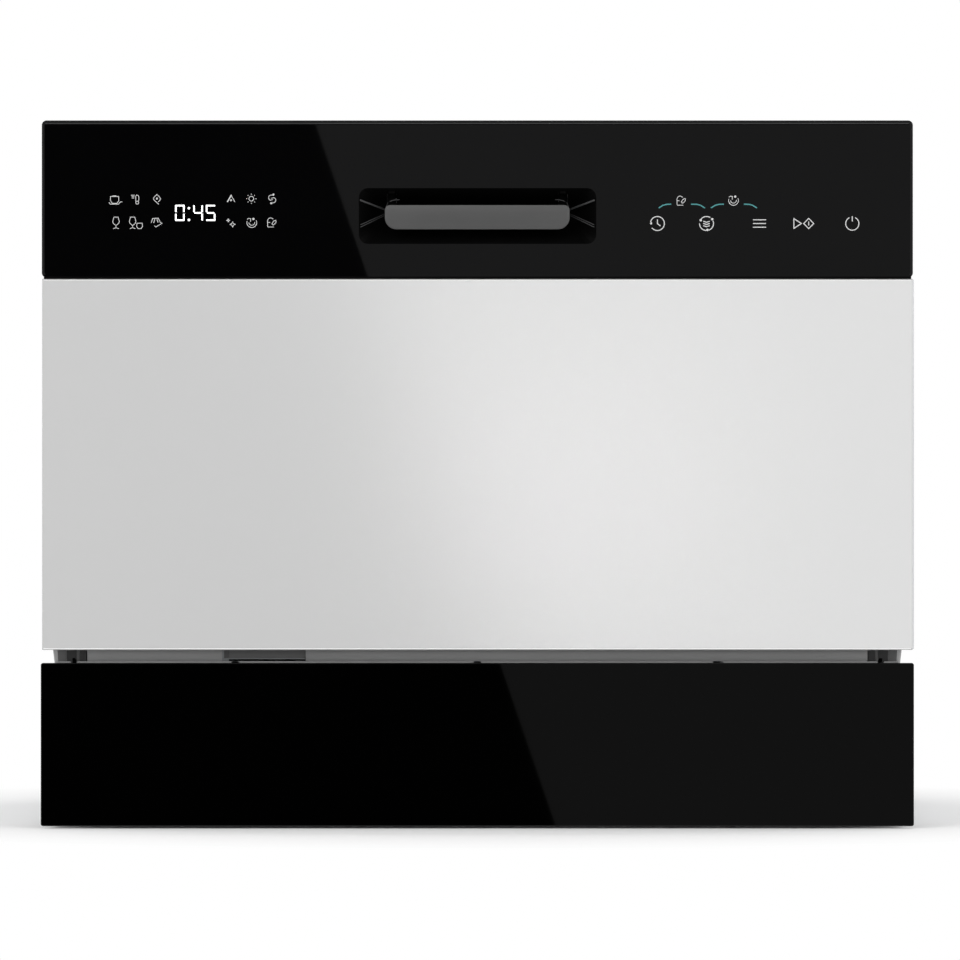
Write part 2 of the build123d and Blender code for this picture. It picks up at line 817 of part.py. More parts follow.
def drain_pump():
    start = well_x + sump_well_radius
    z = drain_pump_z
    body = peg((start, well_y, z), (start + 18, well_y, z), 26, 16)
    body += peg((start + 18, well_y, z), (start + 78, well_y, z), 21, 16)
    return body + peg((hose_x, well_y, z), (hose_x, well_y + 34, z), 9)


def inner_hoses():
    side = hose_side
    fill_y = salt_y - 10
    fill_z = softener_top - 32
    suck_z = sump_well_low + 12
    suck_bend = min(28, well_x - sump_well_radius - pump_x - 1)
    end = port_wall_y - drain_inside
    drain = bent([(hose_x, well_y + 34, drain_pump_z), (hose_x, end - 78, drain_pump_z),
                  (drain_x, end - 38, drain_z), (drain_x, end, drain_z)], [60, 30], 8)
    feed = bent([(inlet_x + valve_half, valve_y, inlet_z), (side, valve_y, inlet_z), (side, valve_y, air_low)],
                [14], 7)
    fill = bent([(side, fill_y, air_low), (side, fill_y, fill_z), (softener_right, fill_y, fill_z)], [17], 8)
    lift = disc_x(arm_y, pump_z + pump_outlet_up, pump_x + volute_radius + 8, arm_x - post_radius - 5, 10)
    suck = bent([(well_x - sump_well_radius, well_y, suck_z), (pump_x, well_y, suck_z),
                 (pump_x, pump_front_y, suck_z)], [suck_bend], 13)
    return [drain, feed, fill, lift, suck]


def inlet_valve():
    """Solenoid valve with a male thread for the fill hose."""
    back = port_wall_y - wall
    body = box(inlet_x - valve_half, inlet_x + valve_half, back - valve_length, back, inlet_z - 20, inlet_z + 20)
    y = back - valve_half
    body += peg((inlet_x, y, inlet_z + 19), (inlet_x, y, inlet_z + 36), 15)
    body += disc_y(inlet_x, inlet_z, back - 1, port_wall_y, inlet_radius + inlet_shoulder)
    return body + disc_y(inlet_x, inlet_z, port_wall_y, port_wall_y + inlet_length, inlet_radius)


def drain_spigot():
    end = port_wall_y + drain_length
    pipe = disc_y(drain_x, drain_z, port_wall_y - drain_inside, end, drain_radius)
    pipe += peg((drain_x, port_wall_y, drain_z), (drain_x, port_wall_y + 2.5, drain_z), drain_radius + 5)
    return pipe - disc_y(drain_x, drain_z, port_wall_y - 12, end + 1, drain_bore)


def cord_gland():
    end = port_wall_y + cord_length - wall
    gland = disc_y(cord_x, cord_z, port_wall_y - wall, end, cord_radius + 2)
    gland += peg((cord_x, port_wall_y, cord_z), (cord_x, port_wall_y + 4, cord_z), cord_radius + 5)
    gland += peg((cord_x, port_wall_y - wall - 2, cord_z), (cord_x, port_wall_y - wall, cord_z), cord_radius + 4)
    return gland - disc_y(cord_x, cord_z, port_wall_y - 20, end + 1, cord_radius)


def air_break():
    """Flat water way beside the tub, with its vent through the wall."""
    outer = case_half - sheet
    inner = tub_half + air_side_gap
    body = box(inner, outer, air_front_y, air_back_y, air_low, air_high)
    body = chamfer(body.edges().filter_by(Axis.X), 12)
    for n in (1, 2, 3):
        z = air_low + n * air_rib_pitch
        body -= box(inner - 1, inner + 6, air_front_y + 15, air_back_y - 15, z, z + 22)
    vent = ((tub_half + sheet, inner + 1, vent_radius + 6), (tub_half - 4, inner, vent_radius),
            (tub_half - 4.5, tub_half - touch, vent_radius + 7))
    for x0, x1, radius in vent:
        body += peg((x0, vent_y, vent_z), (x1, vent_y, vent_z), radius, 20)
    return body


def overflow_float():
    dome = disc_z(float_x, float_y, float_bottom, float_bottom + float_height, float_radius)
    dome = chamfer(dome.edges().sort_by(Axis.Z)[-1], 4)
    dome -= disc_z(float_x, float_y, float_bottom - 1, float_bottom + 8, float_radius - 2.5)
    return dome + peg((float_x, float_y, switch_top + touch), (float_x, float_y, float_bottom + 9), 3)


def float_switch():
    post = box(float_x - 6, float_x + 6, float_y - 10, float_y + 10, base_floor, switch_top - 14)
    return post + box(float_x - 10, float_x + 10, float_y - 14, float_y + 14, switch_top - 14, switch_top)


# Hinge

def hinge_bracket():
    """Fixed plate on the base wall that carries the door's pin."""
    x0 = base_inner - bracket_thick
    x1 = base_inner
    plate = side_cut([(pivot_y, pivot_z - eye_radius), (case_front + 6, bracket_low),
                      (case_front + 90, bracket_low), (case_front + 90, pivot_z - eye_radius),
                      (case_front + 40, pivot_z), (pivot_y, pivot_z + eye_radius)], x0, x1)
    plate += disc_x(pivot_y, pivot_z, x0, x1, eye_radius)
    plate -= box(x0 - 1, x1 + 1, front, case_front + wall + touch, 0, kick_top - 4 + touch)
    plate -= box(x0 - 1, x1 + 1, front, case_front + 0.5, 0, pivot_z - eye_radius)
    plate -= disc_x(case_front + 60, bracket_low + 26, x0 - 1, x1 + 1, 8)
    plate += disc_x(pivot_y, pivot_z, arm_x0 - 1.5, x1, pin_radius)
    return plate


def hinge_arm():
    """Plate on the door, with the eye for the pin and the lever that pulls the spring."""
    lever_y = pivot_y + lever_back
    lever_z = pivot_z + lever_up
    high = pivot_z + arm_height
    plate = side_cut([(pivot_y - 8, pivot_z), (pivot_y, pivot_z - 8), (lever_y, lever_z - 5),
                      (lever_y, lever_z + 5), (pivot_y + 14, pivot_z + 26), (pivot_y + 26, pivot_z + 44),
                      (pivot_y + 26, high), (pivot_y + 12, high), (pivot_y - 8, high - 40)], arm_x0, arm_x1)
    plate += disc_x(pivot_y, pivot_z, arm_x0, arm_x1, eye_radius + 1)
    plate += disc_x(lever_y, lever_z, arm_x0, arm_x1, 6)
    plate -= disc_x(pivot_y, pivot_z, arm_x0 - 1, arm_x1 + 1, pin_radius + running)
    plate -= disc_x(lever_y, lever_z, arm_x0 - 1, arm_x1 + 1, 2.5)
    tab = box(arm_x0 - 16, arm_x1, liner_back - 3, liner_back, pivot_z + 46, high)
    return plate + tab


def spring_link():
    """Rod and hook that the hinge arm pulls out of the spring."""
    y = pivot_y + lever_back
    z = pivot_z + lever_up
    ring = disc_x(y, z, link_x0, link_x1, 5) - disc_x(y, z, link_x0 - 1, link_x1 + 1, 2.4)
    return ring + disc_y(link_x, z, y + 3.5, spring_front_y + 58, 1.4)


def balance_spring():
    z = pivot_z + lever_up
    spring = disc_y(link_x, z, spring_front_y, spring_rear_y, spring_radius)
    spring -= disc_y(link_x, z, spring_front_y - 1, spring_rear_y - 2, spring_bore)
    return spring + disc_y(link_x, z, spring_rear_y, spring_anchor_y, 1.6)


# Door

def door_panel():
    """Outer door skin: a shallow tray with bevelled upper and lower edges."""
    half = panel_half
    inner = half - panel_sheet
    back = liner_face - 2
    skin = box(-half, half, front, back, door_bottom, panel_top)
    skin -= box(-inner, inner, front + panel_sheet, back + 1, door_bottom + panel_sheet, panel_top + 1)
    skin += box(-inner, inner, front + panel_sheet, front + panel_hem, panel_top - panel_sheet, panel_top)
    skin -= box(-inner, inner, front + 28, liner_face, door_bottom - 1, door_bottom + 5)
    edges = skin.faces().sort_by(Axis.Y)[0].edges()
    skin = chamfer(edges.filter_by(Axis.X), 1.0)
    for side in (-1, 1):
        x0, x1 = sorted((side * (arm_x0 - 6), side * (base_inner + 2)))
        skin -= box(x0, x1, pivot_y - eye_radius - 1, liner_face, door_bottom - 1, door_bottom + 5)
    return skin


def fascia_frame():
    """Moulded frame of the control panel: a thin rim, a shelf behind the glass and deep side walls."""
    middle = fascia_middle
    wide = 2 * fascia_half
    body = front_plate(wide, fascia_height, 3, front, liner_face - 1.5, 0, middle)
    body -= front_plate(wide - 2 * rim, fascia_height - 2 * rim, 2, front - 1, glass_back, 0, middle)
    body -= front_plate(wide - 5, fascia_height - 5, 2, frame_back, liner_face, 0, middle)
    body -= front_plate(pocket_width + 6, pocket_height + 6, pocket_corner, front, frame_back + 1, 0, pocket_z)
    body -= box(-dish_half - 2, dish_half + 2, dish_y - 3, liner_face, fascia_bottom - 1, fascia_bottom + 4)
    low = pocket_z - window_half
    high = pocket_z + window_half
    for n in range(3):
        x = mark_inset - fascia_half + n * mark_pitch
        body -= box(x - 17, x + 17, glass_back - 1, frame_back + 1, low, high)
    for inset in key_insets:
        x = fascia_half - inset
        body -= box(x - 12, x + 12, glass_back - 1, frame_back + 1, low, high)
    return body


def fascia_glass():
    glass = front_plate(2 * fascia_half - 2 * rim, fascia_height - 2 * rim, 2, front, glass_back, 0, fascia_middle)
    grow = 2 * pocket_wall + 0.4
    return glass - front_plate(pocket_width + grow, pocket_height + grow, pocket_corner + pocket_wall, front - 1,
                               glass_back + 1, 0, pocket_z)


def funnel(grow, extra):
    """The pocket's space: wide at the glass, narrow behind the lever."""
    wide = soft_outline(pocket_width + 2 * grow, pocket_height + 2 * grow, pocket_corner + grow, 0, pocket_z)
    deep = soft_outline(well_width + 2 * grow, well_height + 2 * grow, well_corner + grow, 0, well_z)
    back = front + pocket_deep + extra
    return flat_sided([(x, front, z) for x, z in wide], [(x, back, z) for x, z in deep])


def handle_pocket():
    cup = funnel(pocket_wall, pocket_wall)
    cup += front_plate(pocket_width + 2 * pocket_flange, pocket_height + 16, 8, frame_back, frame_back + 2, 0,
                       pocket_z)
    for side in (-1, 1):
        x0, x1 = sorted((side * (lever_arm_x + lever_arm_thick / 2 + 0.8), side * (lever_arm_x + 9)))
        lug = side_cut([(lever_pivot_y - 4, lever_pivot_z - 8), (lever_pivot_y + 4, lever_pivot_z - 8),
                        (lever_pivot_y + 4, lever_pivot_z + 4), (lever_pivot_y - 4, lever_pivot_z + 4)], x0, x1)
        cup += lug
        cup -= disc_x(lever_pivot_y, lever_pivot_z, x0 - 1, x1 + 1, lever_pin_radius + running)
    cup -= funnel(0, 0)
    for side in (-1, 1):
        x0, x1 = sorted((side * (lever_arm_x - lever_arm_thick / 2 - 0.6),
                         side * (lever_arm_x + lever_arm_thick / 2 + 0.6)))
        cup -= box(x0, x1, front + 3.2, front + pocket_deep, well_z + 2, pocket_z_high + 20)
    return cup


def handle_lever():
    """Pull bar with two arms that swing on pins behind the pocket's upper side."""
    y0 = front + lever_inset
    low = lever_z - lever_height / 2
    high = lever_z + lever_height / 2
    bar = box(-lever_width / 2, lever_width / 2, y0, y0 + lever_thick, low, high)
    corners = bar.edges().filter_by(Axis.Y)
    bar = fillet(corners.group_by(Axis.Z)[0], 5.5)
    bar = fillet(bar.edges().filter_by(Axis.Y).group_by(Axis.Z)[-1], 2)
    half = lever_arm_thick / 2
    for x in (-lever_arm_x, lever_arm_x):
        arm = side_cut([(y0 + lever_thick - 1, high - 7), (y0 + lever_thick + 3, high - 6),
                        (lever_pivot_y + 4, lever_pivot_z), (lever_pivot_y - 4, lever_pivot_z),
                        (y0 + lever_thick - 1, high - 1)], x - half, x + half)
        arm += disc_x(lever_pivot_y, lever_pivot_z, x - half, x + half, 4.5)
        arm += box(x - half, x + half, lever_pivot_y - 2, lever_pivot_y + 2, lever_pivot_z, lever_pivot_z + 10)
        out = x + math.copysign(half, x)
        x0, x1 = sorted((out, out + math.copysign(5, x)))
        bar += arm + disc_x(lever_pivot_y, lever_pivot_z, x0, x1, lever_pin_radius)
    return bar


def door_liner():
    """Pressed inner door: a flat rim for the seal and a dished middle."""
    back = liner_back
    tall = liner_top - liner_low
    liner = front_plate(2 * liner_half, tall, 8, back, liner_face, 0, (liner_top + liner_low) / 2)
    middle = (dish_low + dish_high) / 2
    height = dish_high - dish_low

    def dish(shrink, depth_in, corner):
        wide = Plane.XZ.offset(-back - sheet * (shrink == 0)) * Pos(0, middle) * RectangleRounded(
            2 * dish_half - 2 * shrink + 2 * sheet, height - 2 * shrink + 2 * sheet, corner)
        deep = Plane.XZ.offset(-liner_face + depth_in) * Pos(0, middle) * RectangleRounded(
            2 * dish_half - 8 - 2 * shrink + 2 * sheet, height - 16 - 2 * shrink + 2 * sheet, corner - 4)
        return loft([wide, deep])

    liner += dish(0, dish_depth + sheet, 25)
    liner -= Pos(0, sheet, 0) * dish(sheet, dish_depth + sheet, 24)
    for side in (-1, 1):
        x0, x1 = sorted((side * (link_x0 - 1), side * (liner_half + 1)))
        liner -= box(x0, x1, back - 1, liner_face + 1, liner_low - 1, pivot_z + lever_up + 9.5)
    liner -= box(-3.5, 3.5, back - 1, liner_face + 1, strike_z, strike_z + 10)
    hole = dispenser_width - 15, dispenser_height - 11
    liner -= front_plate(hole[0], hole[1], 6, front, liner_face, 0, dispenser_z)
    return liner


def door_insulation():
    tall = panel_top - door_bottom - 50
    return front_plate(2 * dish_half, tall, 4, front + panel_sheet, front + panel_sheet + 4, 0,
                       (panel_top + door_bottom) / 2 + 12)


def control_boards():
    y0 = frame_back
    y1 = y0 + board_thick
    low = pocket_z - 17.8
    high = low + 46
    flange = pocket_width / 2 + pocket_flange
    display_x = mark_inset + mark_pitch - fascia_half
    left = box(mark_inset + 3 - fascia_half, -flange - 3.2, y0, y1, low, high)
    left += box(display_x - display_half, display_x + display_half, y0 - 2.2, y1, low + 10, low + 26)
    key_side = fascia_half - key_insets[-1]
    right = box(flange + 13.2, key_side + 4, y0, y1, low, high)
    case = box(flange + 27.2, key_side, y1, y0 + 16, low - 12, high + 20)
    return [left, right + fillet(case.edges().filter_by(Axis.Y), 3)]


def door_lock_case():
    back = liner_back
    low = hook_pivot_z - 14
    high = liner_top - 1
    case = box(-24, 24, back - 20, back, low, high)
    case = fillet(case.edges().filter_by(Axis.Y).group_by(Axis.Z)[0], 3)
    gap = hook_thick / 2 + 0.7
    case -= box(-gap, gap, back - 17.5, back + 1, low + 6, high + 1)
    return case + disc_x(hook_pivot_y, hook_pivot_z, -gap - 1, gap + 1, 2)


def latch_hook():
    """Hook of the latch, drawn just clear of the strike."""
    under = strike_z + strike_radius + release_gap
    tip0 = strike_y + strike_radius + 0.6
    tip1 = tip0 + 2.5
    half = hook_thick / 2
    hook = side_cut([(hook_pivot_y - 4, hook_pivot_z), (hook_pivot_y + 4, hook_pivot_z),
                     (hook_pivot_y + 6, under + 1.2), (tip0, under + 1.2), (tip0, under), (tip1, under + 0.5),
                     (tip1, under + 2.8), (tip0, under + 4), (hook_pivot_y - 1, under + 4),
                     (hook_pivot_y - 4, under)], -half, half)
    hook += disc_x(hook_pivot_y, hook_pivot_z, -half, half, 4.5)
    return hook - disc_x(hook_pivot_y, hook_pivot_z, -half - 1, half + 1, 2 + running)


def dispenser_body():
    """Detergent cup, rails for its sliding lid and the seat of the rinse aid cap."""
    body = front_plate(dispenser_width, dispenser_height, 8, dish_y, dispenser_face, 0, dispenser_z)
    body += front_plate(dispenser_width - 16, dispenser_height - 12, 6, dish_y - dispenser_deep, dish_y + 1, 0,
                        dispenser_z)
    body -= front_plate(cup_width, cup_height, 8, dispenser_face - 17, dispenser_face + 1, cup_x, dispenser_z)
    body -= disc_y(rinse_x, dispenser_z, dispenser_face - 14, dispenser_face + 1, rinse_radius - 4)
    lid_y = dispenser_face + touch
    for side in (-1, 1):
        inner = lid_height / 2 + touch
        z0, z1 = sorted((side * inner, side * (inner + 3.4)))
        lip0, lip1 = sorted((side * (inner - 2), side * (inner + 3.4)))
        body += box(cup_x - lid_width / 2, dispenser_width / 2 - 4, dispenser_face - 0.5, lid_y + lid_thick + touch,
                    dispenser_z + z0, dispenser_z + z1)
        body += box(cup_x - lid_width / 2, dispenser_width / 2 - 4, lid_y + lid_thick + touch,
                    lid_y + lid_thick + touch + 1.5, dispenser_z + lip0, dispenser_z + lip1)
    return body


def dispenser_lid():
    y0 = dispenser_face + touch
    lid = front_plate(lid_width, lid_height, 1, y0, y0 + lid_thick, cup_x, dispenser_z)
    grip = box(cup_x - 26, cup_x - 20, y0 + 1, y0 + lid_thick + 4, dispenser_z - 18, dispenser_z + 18)
    return lid + fillet(grip.edges().filter_by(Axis.Z).group_by(Axis.Y)[-1], 1.5)


def rinse_cap():
    y0 = dispenser_face + touch
    cap = disc_y(rinse_x, dispenser_z, y0, y0 + rinse_thick - 3, rinse_radius)
    cap += box(rinse_x - 15, rinse_x + 15, y0, y0 + rinse_thick, dispenser_z - 2.5, dispenser_z + 2.5)
    return cap + disc_y(rinse_x, dispenser_z, y0 - 12, y0, rinse_radius - 4 - touch)


def door_screws():
    """Pan head screws round the liner's rim."""
    screws = []
    for z in (pivot_z + 65.5, pivot_z + 100.5, dispenser_z, liner_top - 62, liner_top - 17):
        for x in (-tub_half - screw_line, tub_half + screw_line):
            screws.append(wire((x, liner_face, z), (x, liner_face + 1.2, z), 3.5))
    return screws


# Rack

def rack_floor():
    reach = wire_half + fine_wire
    wires = []
    for x in spread(floor_clear - wire_half, wire_half - floor_clear, long_wire_count):
        wires.append(wire((x, wire_front - fine_wire, low_wire_z), (x, wire_back + fine_wire, low_wire_z), fine_wire))
    for y in spread(wire_front + floor_clear, wire_back - floor_clear, cross_wire_count):
        wires.append(wire((-reach, y, cross_wire_z), (reach, y, cross_wire_z), fine_wire))
    return wires


def rack_sides():
    wires = []
    for side in (-1, 1):
        x = side * wire_half
        for y in spread(wire_front + corner_clear, wire_back - corner_clear, side_wire_count):
            wires.append(wire((x, y, wall_foot_z), (x, y, rack_rim_z + 1), fine_wire))
        for z in (rack_mid_z, rack_rim_z):
            x = side * (rack_half - rim_wire)
            wires.append(wire((x, rack_front + 30, z), (x, rack_back - 30, z), rim_wire))
    return wires


def rack_ends():
    half = rack_half - rim_wire
    wires = []
    for y, step in ((end_front, 1), (end_back, -1)):
        for x in spread(corner_clear - wire_half, wire_half - corner_clear, end_wire_count):
            foot = (x, y + step * wire_step, low_wire_z + fine_wire + weld_gap)
            wires.append(wire(foot, (foot[0], foot[1], rack_rim_z + 1), fine_wire))
        for z in (rack_mid_z, rack_rim_z):
            side_y = y + step * (30 - rim_wire)
            cut = rack_corner * 0.6
            spots = [(-half, side_y, z), (-half, y + step * cut, z), (-half + cut, y, z), (half - cut, y, z),
                     (half, y + step * cut, z), (half, side_y, z)]
            wires.append(sweep(Plane(spots[0], z_dir=(0, -step, 0)) * RegularPolygon(rim_wire, 8),
                               Polyline(*spots), transition=Transition.RIGHT))
    return wires


def tine_row(y):
    z = tine_z
    last = tine_left + tine_pitch * (tine_count - 1)
    row = disc_x(y, z, tine_left - tine_overhang, last + tine_overhang, rim_wire)
    for n in range(tine_count):
        x = tine_left + tine_pitch * n
        row += wire((x, y, z), (x, y, z + tine_height), fine_wire)
    return row


def rack_clips():
    """Plastic wheel holders on the side wires, and the clips that the tine rows turn in."""
    clips = []
    for side in (-1, 1):
        for y in (wheel_front_y, wheel_rear_y):
            x0, x1 = sorted((side * (rack_half + touch), side * (wheel_x - wheel_width / 2 - 3)))
            holder = box(x0, x1, y - 13, y + 13, wheel_z - 6, rack_mid_z + 8)
            holder = chamfer(holder.edges().filter_by(Axis.X), 4)
            a, b = sorted((side * (wheel_x - wheel_width / 2 - 4), side * (wheel_x + wheel_width / 2 + touch)))
            holder += disc_x(y, wheel_z, a, b, axle_radius)
            a, b = sorted((side * (wheel_x + wheel_width / 2 + touch), side * (wheel_x + wheel_width / 2 + 1.8)))
            clips.append(holder + peg((a, y, wheel_z), (b, y, wheel_z), axle_radius + 1.5))
    for y in tine_rows_y:
        for n in (0.5, (tine_count - 1) // 2 + 0.5, tine_count - 1.5):
            x = tine_left + tine_pitch * n
            clip = box(x - 5, x + 5, y - 5, y + 5, floor_top + weld_gap, tine_z + 4.5)
            clips.append(clip - disc_x(y, tine_z, x - 6, x + 6, rim_wire + running))
    return clips


def wheels(y):
    """Two wheels with a grooved tread."""
    pair = []
    for side in (-1, 1):
        x0, x1 = sorted((side * (wheel_x - wheel_width / 2), side * (wheel_x + wheel_width / 2)))
        tyre = disc_x(y, wheel_z, x0, x1, wheel_radius)
        for turn in range(5):
            angle = math.radians(72 * turn)
            place = (y + 6.6 * math.cos(angle), wheel_z + 6.6 * math.sin(angle))
            tyre -= wire((x0 - 1, *place), (x1 + 1, *place), 2)
        pair.append(tyre - disc_x(y, wheel_z, x0 - 1, x1 + 1, axle_radius + running))
    return pair


def cup_shelf():
    """Slotted shelf with three hooks that turn on the rack's left rim wire."""
    x = -rack_half + rim_wire
    y0 = rack_back - shelf_ahead - shelf_length
    plate = box(x + 6, x + shelf_reach, y0, y0 + shelf_length, rack_rim_z - shelf_thick / 2,
                rack_rim_z + shelf_thick / 2)
    plate = chamfer(plate.edges().filter_by(Axis.Z), 5)
    for n in range(8):
        plate -= box(x + 18, x + shelf_reach - 10, y0 + 12 + 23 * n, y0 + 27 + 23 * n, rack_rim_z - 5, rack_rim_z + 5)
    for y in (y0 + 10, y0 + shelf_length / 2, y0 + shelf_length - 10):
        plate += disc_y(x, rack_rim_z, y - 5, y + 5, 5) + box(x, x + 7, y - 5, y + 5, rack_rim_z - 1.5,
                                                             rack_rim_z + 1.5)
        plate -= disc_y(x, rack_rim_z, y - 6, y + 6, rim_wire + running)
    return plate


def cutlery_basket():
    """Open basket with slotted walls, two dividers and an arched handle."""
    x0 = basket_left
    x1 = basket_right
    y0 = rack_front + basket_back
    y1 = y0 + basket_length
    z0 = floor_top + touch
    z1 = z0 + basket_height
    body = box(x0, x1, y0, y1, z0, z1) - box(x0 + 2, x1 - 2, y0 + 2, y1 - 2, z0 + 2, z1 + 1)
    for y in (y0 + basket_length / 3, y0 + basket_length * 2 / 3):
        body += box(x0 + 1, x1 - 1, y - 1, y + 1, z0, z1 - 8)
    slots = 11
    pitch = (basket_length - 14) / slots
    for n in range(slots):
        y = y0 + 7 + pitch * (n + 0.5)
        body -= box(x0 - 1, x1 + 1, y - 3.5, y + 3.5, z0 + 14, z1 - 14)
    for n in range(3):
        x = x0 + basket_width * (n + 0.5) / 3
        body -= box(x - 5, x + 5, y0 - 1, y0 + 3, z0 + 14, z1 - 14)
        body -= box(x - 5, x + 5, y1 - 3, y1 + 1, z0 + 14, z1 - 14)
    middle = (x0 + x1) / 2
    arch = [(y0 + 40, z1 - 4), (y0 + 52, z1 + 26), (y1 - 52, z1 + 26), (y1 - 40, z1 - 4)]
    bar = side_cut(arch, middle - 3, middle + 3)
    bar -= side_cut([(y0 + 46, z1 - 5), (y0 + 57, z1 + 20), (y1 - 57, z1 + 20), (y1 - 46, z1 - 5)], middle - 4,
                    middle + 4)
    for y in (y0 + 40, y1 - 46):
        body += box(x0 + 1, x1 - 1, y, y + 6, z1 - 8, z1 - 2)
    return body + bar


def cabinet_screws():
    screws = []
    for z in (base_top + 17, case_top - 165, case_top - 25):
        for x in (-base_half + 8, base_half - 8):
            screws.append(wire((x, rear - 2, z), (x, rear - 0.5, z), 4))
    for side in (-1, 1):
        for y in (case_front + 30, case_front + 80):
            x1 = side * (base_inner - bracket_thick)
            x0, x1 = sorted((x1, x1 - side * 1.8))
            screws.append(wire((x0, y, bracket_low + 13), (x1, y, bracket_low + 13), 4))
    return screws


nodes = {
    "base_tray": base_tray, "foot_front_left": lambda: foot_front(-foot_x),
    "foot_front_right": lambda: foot_front(foot_x), "rear_feet": rear_feet, "kick_glass": kick_glass,
    "kick_carrier": kick_carrier, "side_panels": lambda: both_sides(side_panel()), "top_cover": top_cover,
    "rear_panel": rear_panel, "tub_wrap": tub_wrap, "tub_back": tub_back, "tub_floor": tub_floor,
    "tub_collar": tub_collar, "door_seal": door_seal, "strike": strike, "sump": sump,
    "filter_plate": filter_plate, "filter_cup": filter_cup, "spray_arm": spray_arm,
    "spray_arm_nut": spray_arm_nut, "softener": softener, "salt_cap": salt_cap,
    "circulation_pump": circulation_pump, "drain_pump": drain_pump, "inner_hoses": inner_hoses,
    "inlet_valve": inlet_valve, "drain_spigot": drain_spigot, "cord_gland": cord_gland,
    "air_break": air_break, "overflow_float": overflow_float, "float_switch": float_switch,
    "hinge_brackets": lambda: both_sides(hinge_bracket()), "hinge_arms": lambda: both_sides(hinge_arm()),
    "spring_links": lambda: both_sides(spring_link()), "balance_springs": lambda: both_sides(balance_spring()),
    "cabinet_screws": cabinet_screws, "door_panel": door_panel, "fascia_frame": fascia_frame,
    "fascia_glass": fascia_glass, "handle_pocket": handle_pocket, "handle_lever": handle_lever,
    "door_liner": door_liner, "door_insulation": door_insulation, "control_boards": control_boards,
    "door_lock_case": door_lock_case, "latch_hook": latch_hook, "dispenser_body": dispenser_body,
    "dispenser_lid": dispenser_lid, "rinse_cap": rinse_cap, "door_screws": door_screws,
    "rack_floor": rack_floor, "rack_sides": rack_sides, "rack_ends": rack_ends,
    "tine_row_front": lambda: tine_row(tine_rows_y[0]), "tine_row_rear": lambda: tine_row(tine_rows_y[1]),
    "rack_clips": rack_clips, "rack_wheels_front": lambda: wheels(wheel_front_y),
    "rack_wheels_rear": lambda: wheels(wheel_rear_y), "cup_shelf": cup_shelf, "cutlery_basket": cutlery_basket}

os.makedirs("parts", exist_ok=True)
for name, make in nodes.items():
    made = make()
    shapes = made if isinstance(made, list) else [made]
    solids = [solid for shape in shapes for solid in shape.solids()]
    export_step(Compound(solids, label=name), f"parts/{name}.step")
    print(name, len(solids))
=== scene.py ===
import bpy
import bmesh
import math
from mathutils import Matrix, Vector


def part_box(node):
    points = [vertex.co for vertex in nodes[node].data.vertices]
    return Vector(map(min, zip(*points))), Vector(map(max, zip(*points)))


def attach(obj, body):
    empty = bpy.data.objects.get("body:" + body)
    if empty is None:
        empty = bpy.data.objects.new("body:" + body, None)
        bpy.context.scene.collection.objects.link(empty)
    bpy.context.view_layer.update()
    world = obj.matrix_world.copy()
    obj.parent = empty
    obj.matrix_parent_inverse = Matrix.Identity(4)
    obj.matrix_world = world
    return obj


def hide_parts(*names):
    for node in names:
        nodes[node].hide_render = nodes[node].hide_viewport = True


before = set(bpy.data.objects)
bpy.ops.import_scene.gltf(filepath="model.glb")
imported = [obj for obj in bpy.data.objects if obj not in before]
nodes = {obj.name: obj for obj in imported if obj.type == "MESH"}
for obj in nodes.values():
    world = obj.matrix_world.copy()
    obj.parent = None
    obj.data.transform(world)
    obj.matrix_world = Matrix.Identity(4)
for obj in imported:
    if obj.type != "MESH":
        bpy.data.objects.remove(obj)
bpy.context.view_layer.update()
print("frame loaded,", len(nodes), "nodes")

turn = 2 * math.pi
up, inward, across = (0, 0, 1), (0, 1, 0), (1, 0, 0)

# The photograph is square on to the front: one pixel is this many metres on the door's face.
photo = {"pixel": 0.0006298, "centreColumn": 477.35, "floorRow": 826.2, "floorHeight": 0.0015, "side": 960}
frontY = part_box("fascia_glass")[0].y


def photoX(column):
    return (column - photo["centreColumn"]) * photo["pixel"]


def photoZ(row):
    return (photo["floorRow"] - row) * photo["pixel"] + photo["floorHeight"]


# Camera

viewer = {"distance": 5.0, "sensor": 36.0, "farthest": 60}

cameraData = bpy.data.cameras.new("camera")
camera = bpy.data.objects.new("camera", cameraData)
bpy.context.scene.collection.objects.link(camera)
camera.location = (photoX(photo["side"] / 2), frontY - viewer["distance"], photoZ(photo["side"] / 2))
camera.rotation_euler = (math.radians(90), 0, 0)
cameraData.sensor_width = viewer["sensor"]
cameraData.lens = viewer["sensor"] * viewer["distance"] / (photo["side"] * photo["pixel"])
cameraData.clip_end = viewer["farthest"]
bpy.context.scene.camera = camera
print("camera placed")


def behind(here, eye, y):
    # follows the camera's line of sight from the door's face to another depth
    return eye + (here - eye) * ((viewer["distance"] + y - frontY) / viewer["distance"])


def behindX(column, y):
    return behind(photoX(column), camera.location.x, y)


def behindZ(row, y):
    return behind(photoZ(row), camera.location.z, y)


# Shader sums

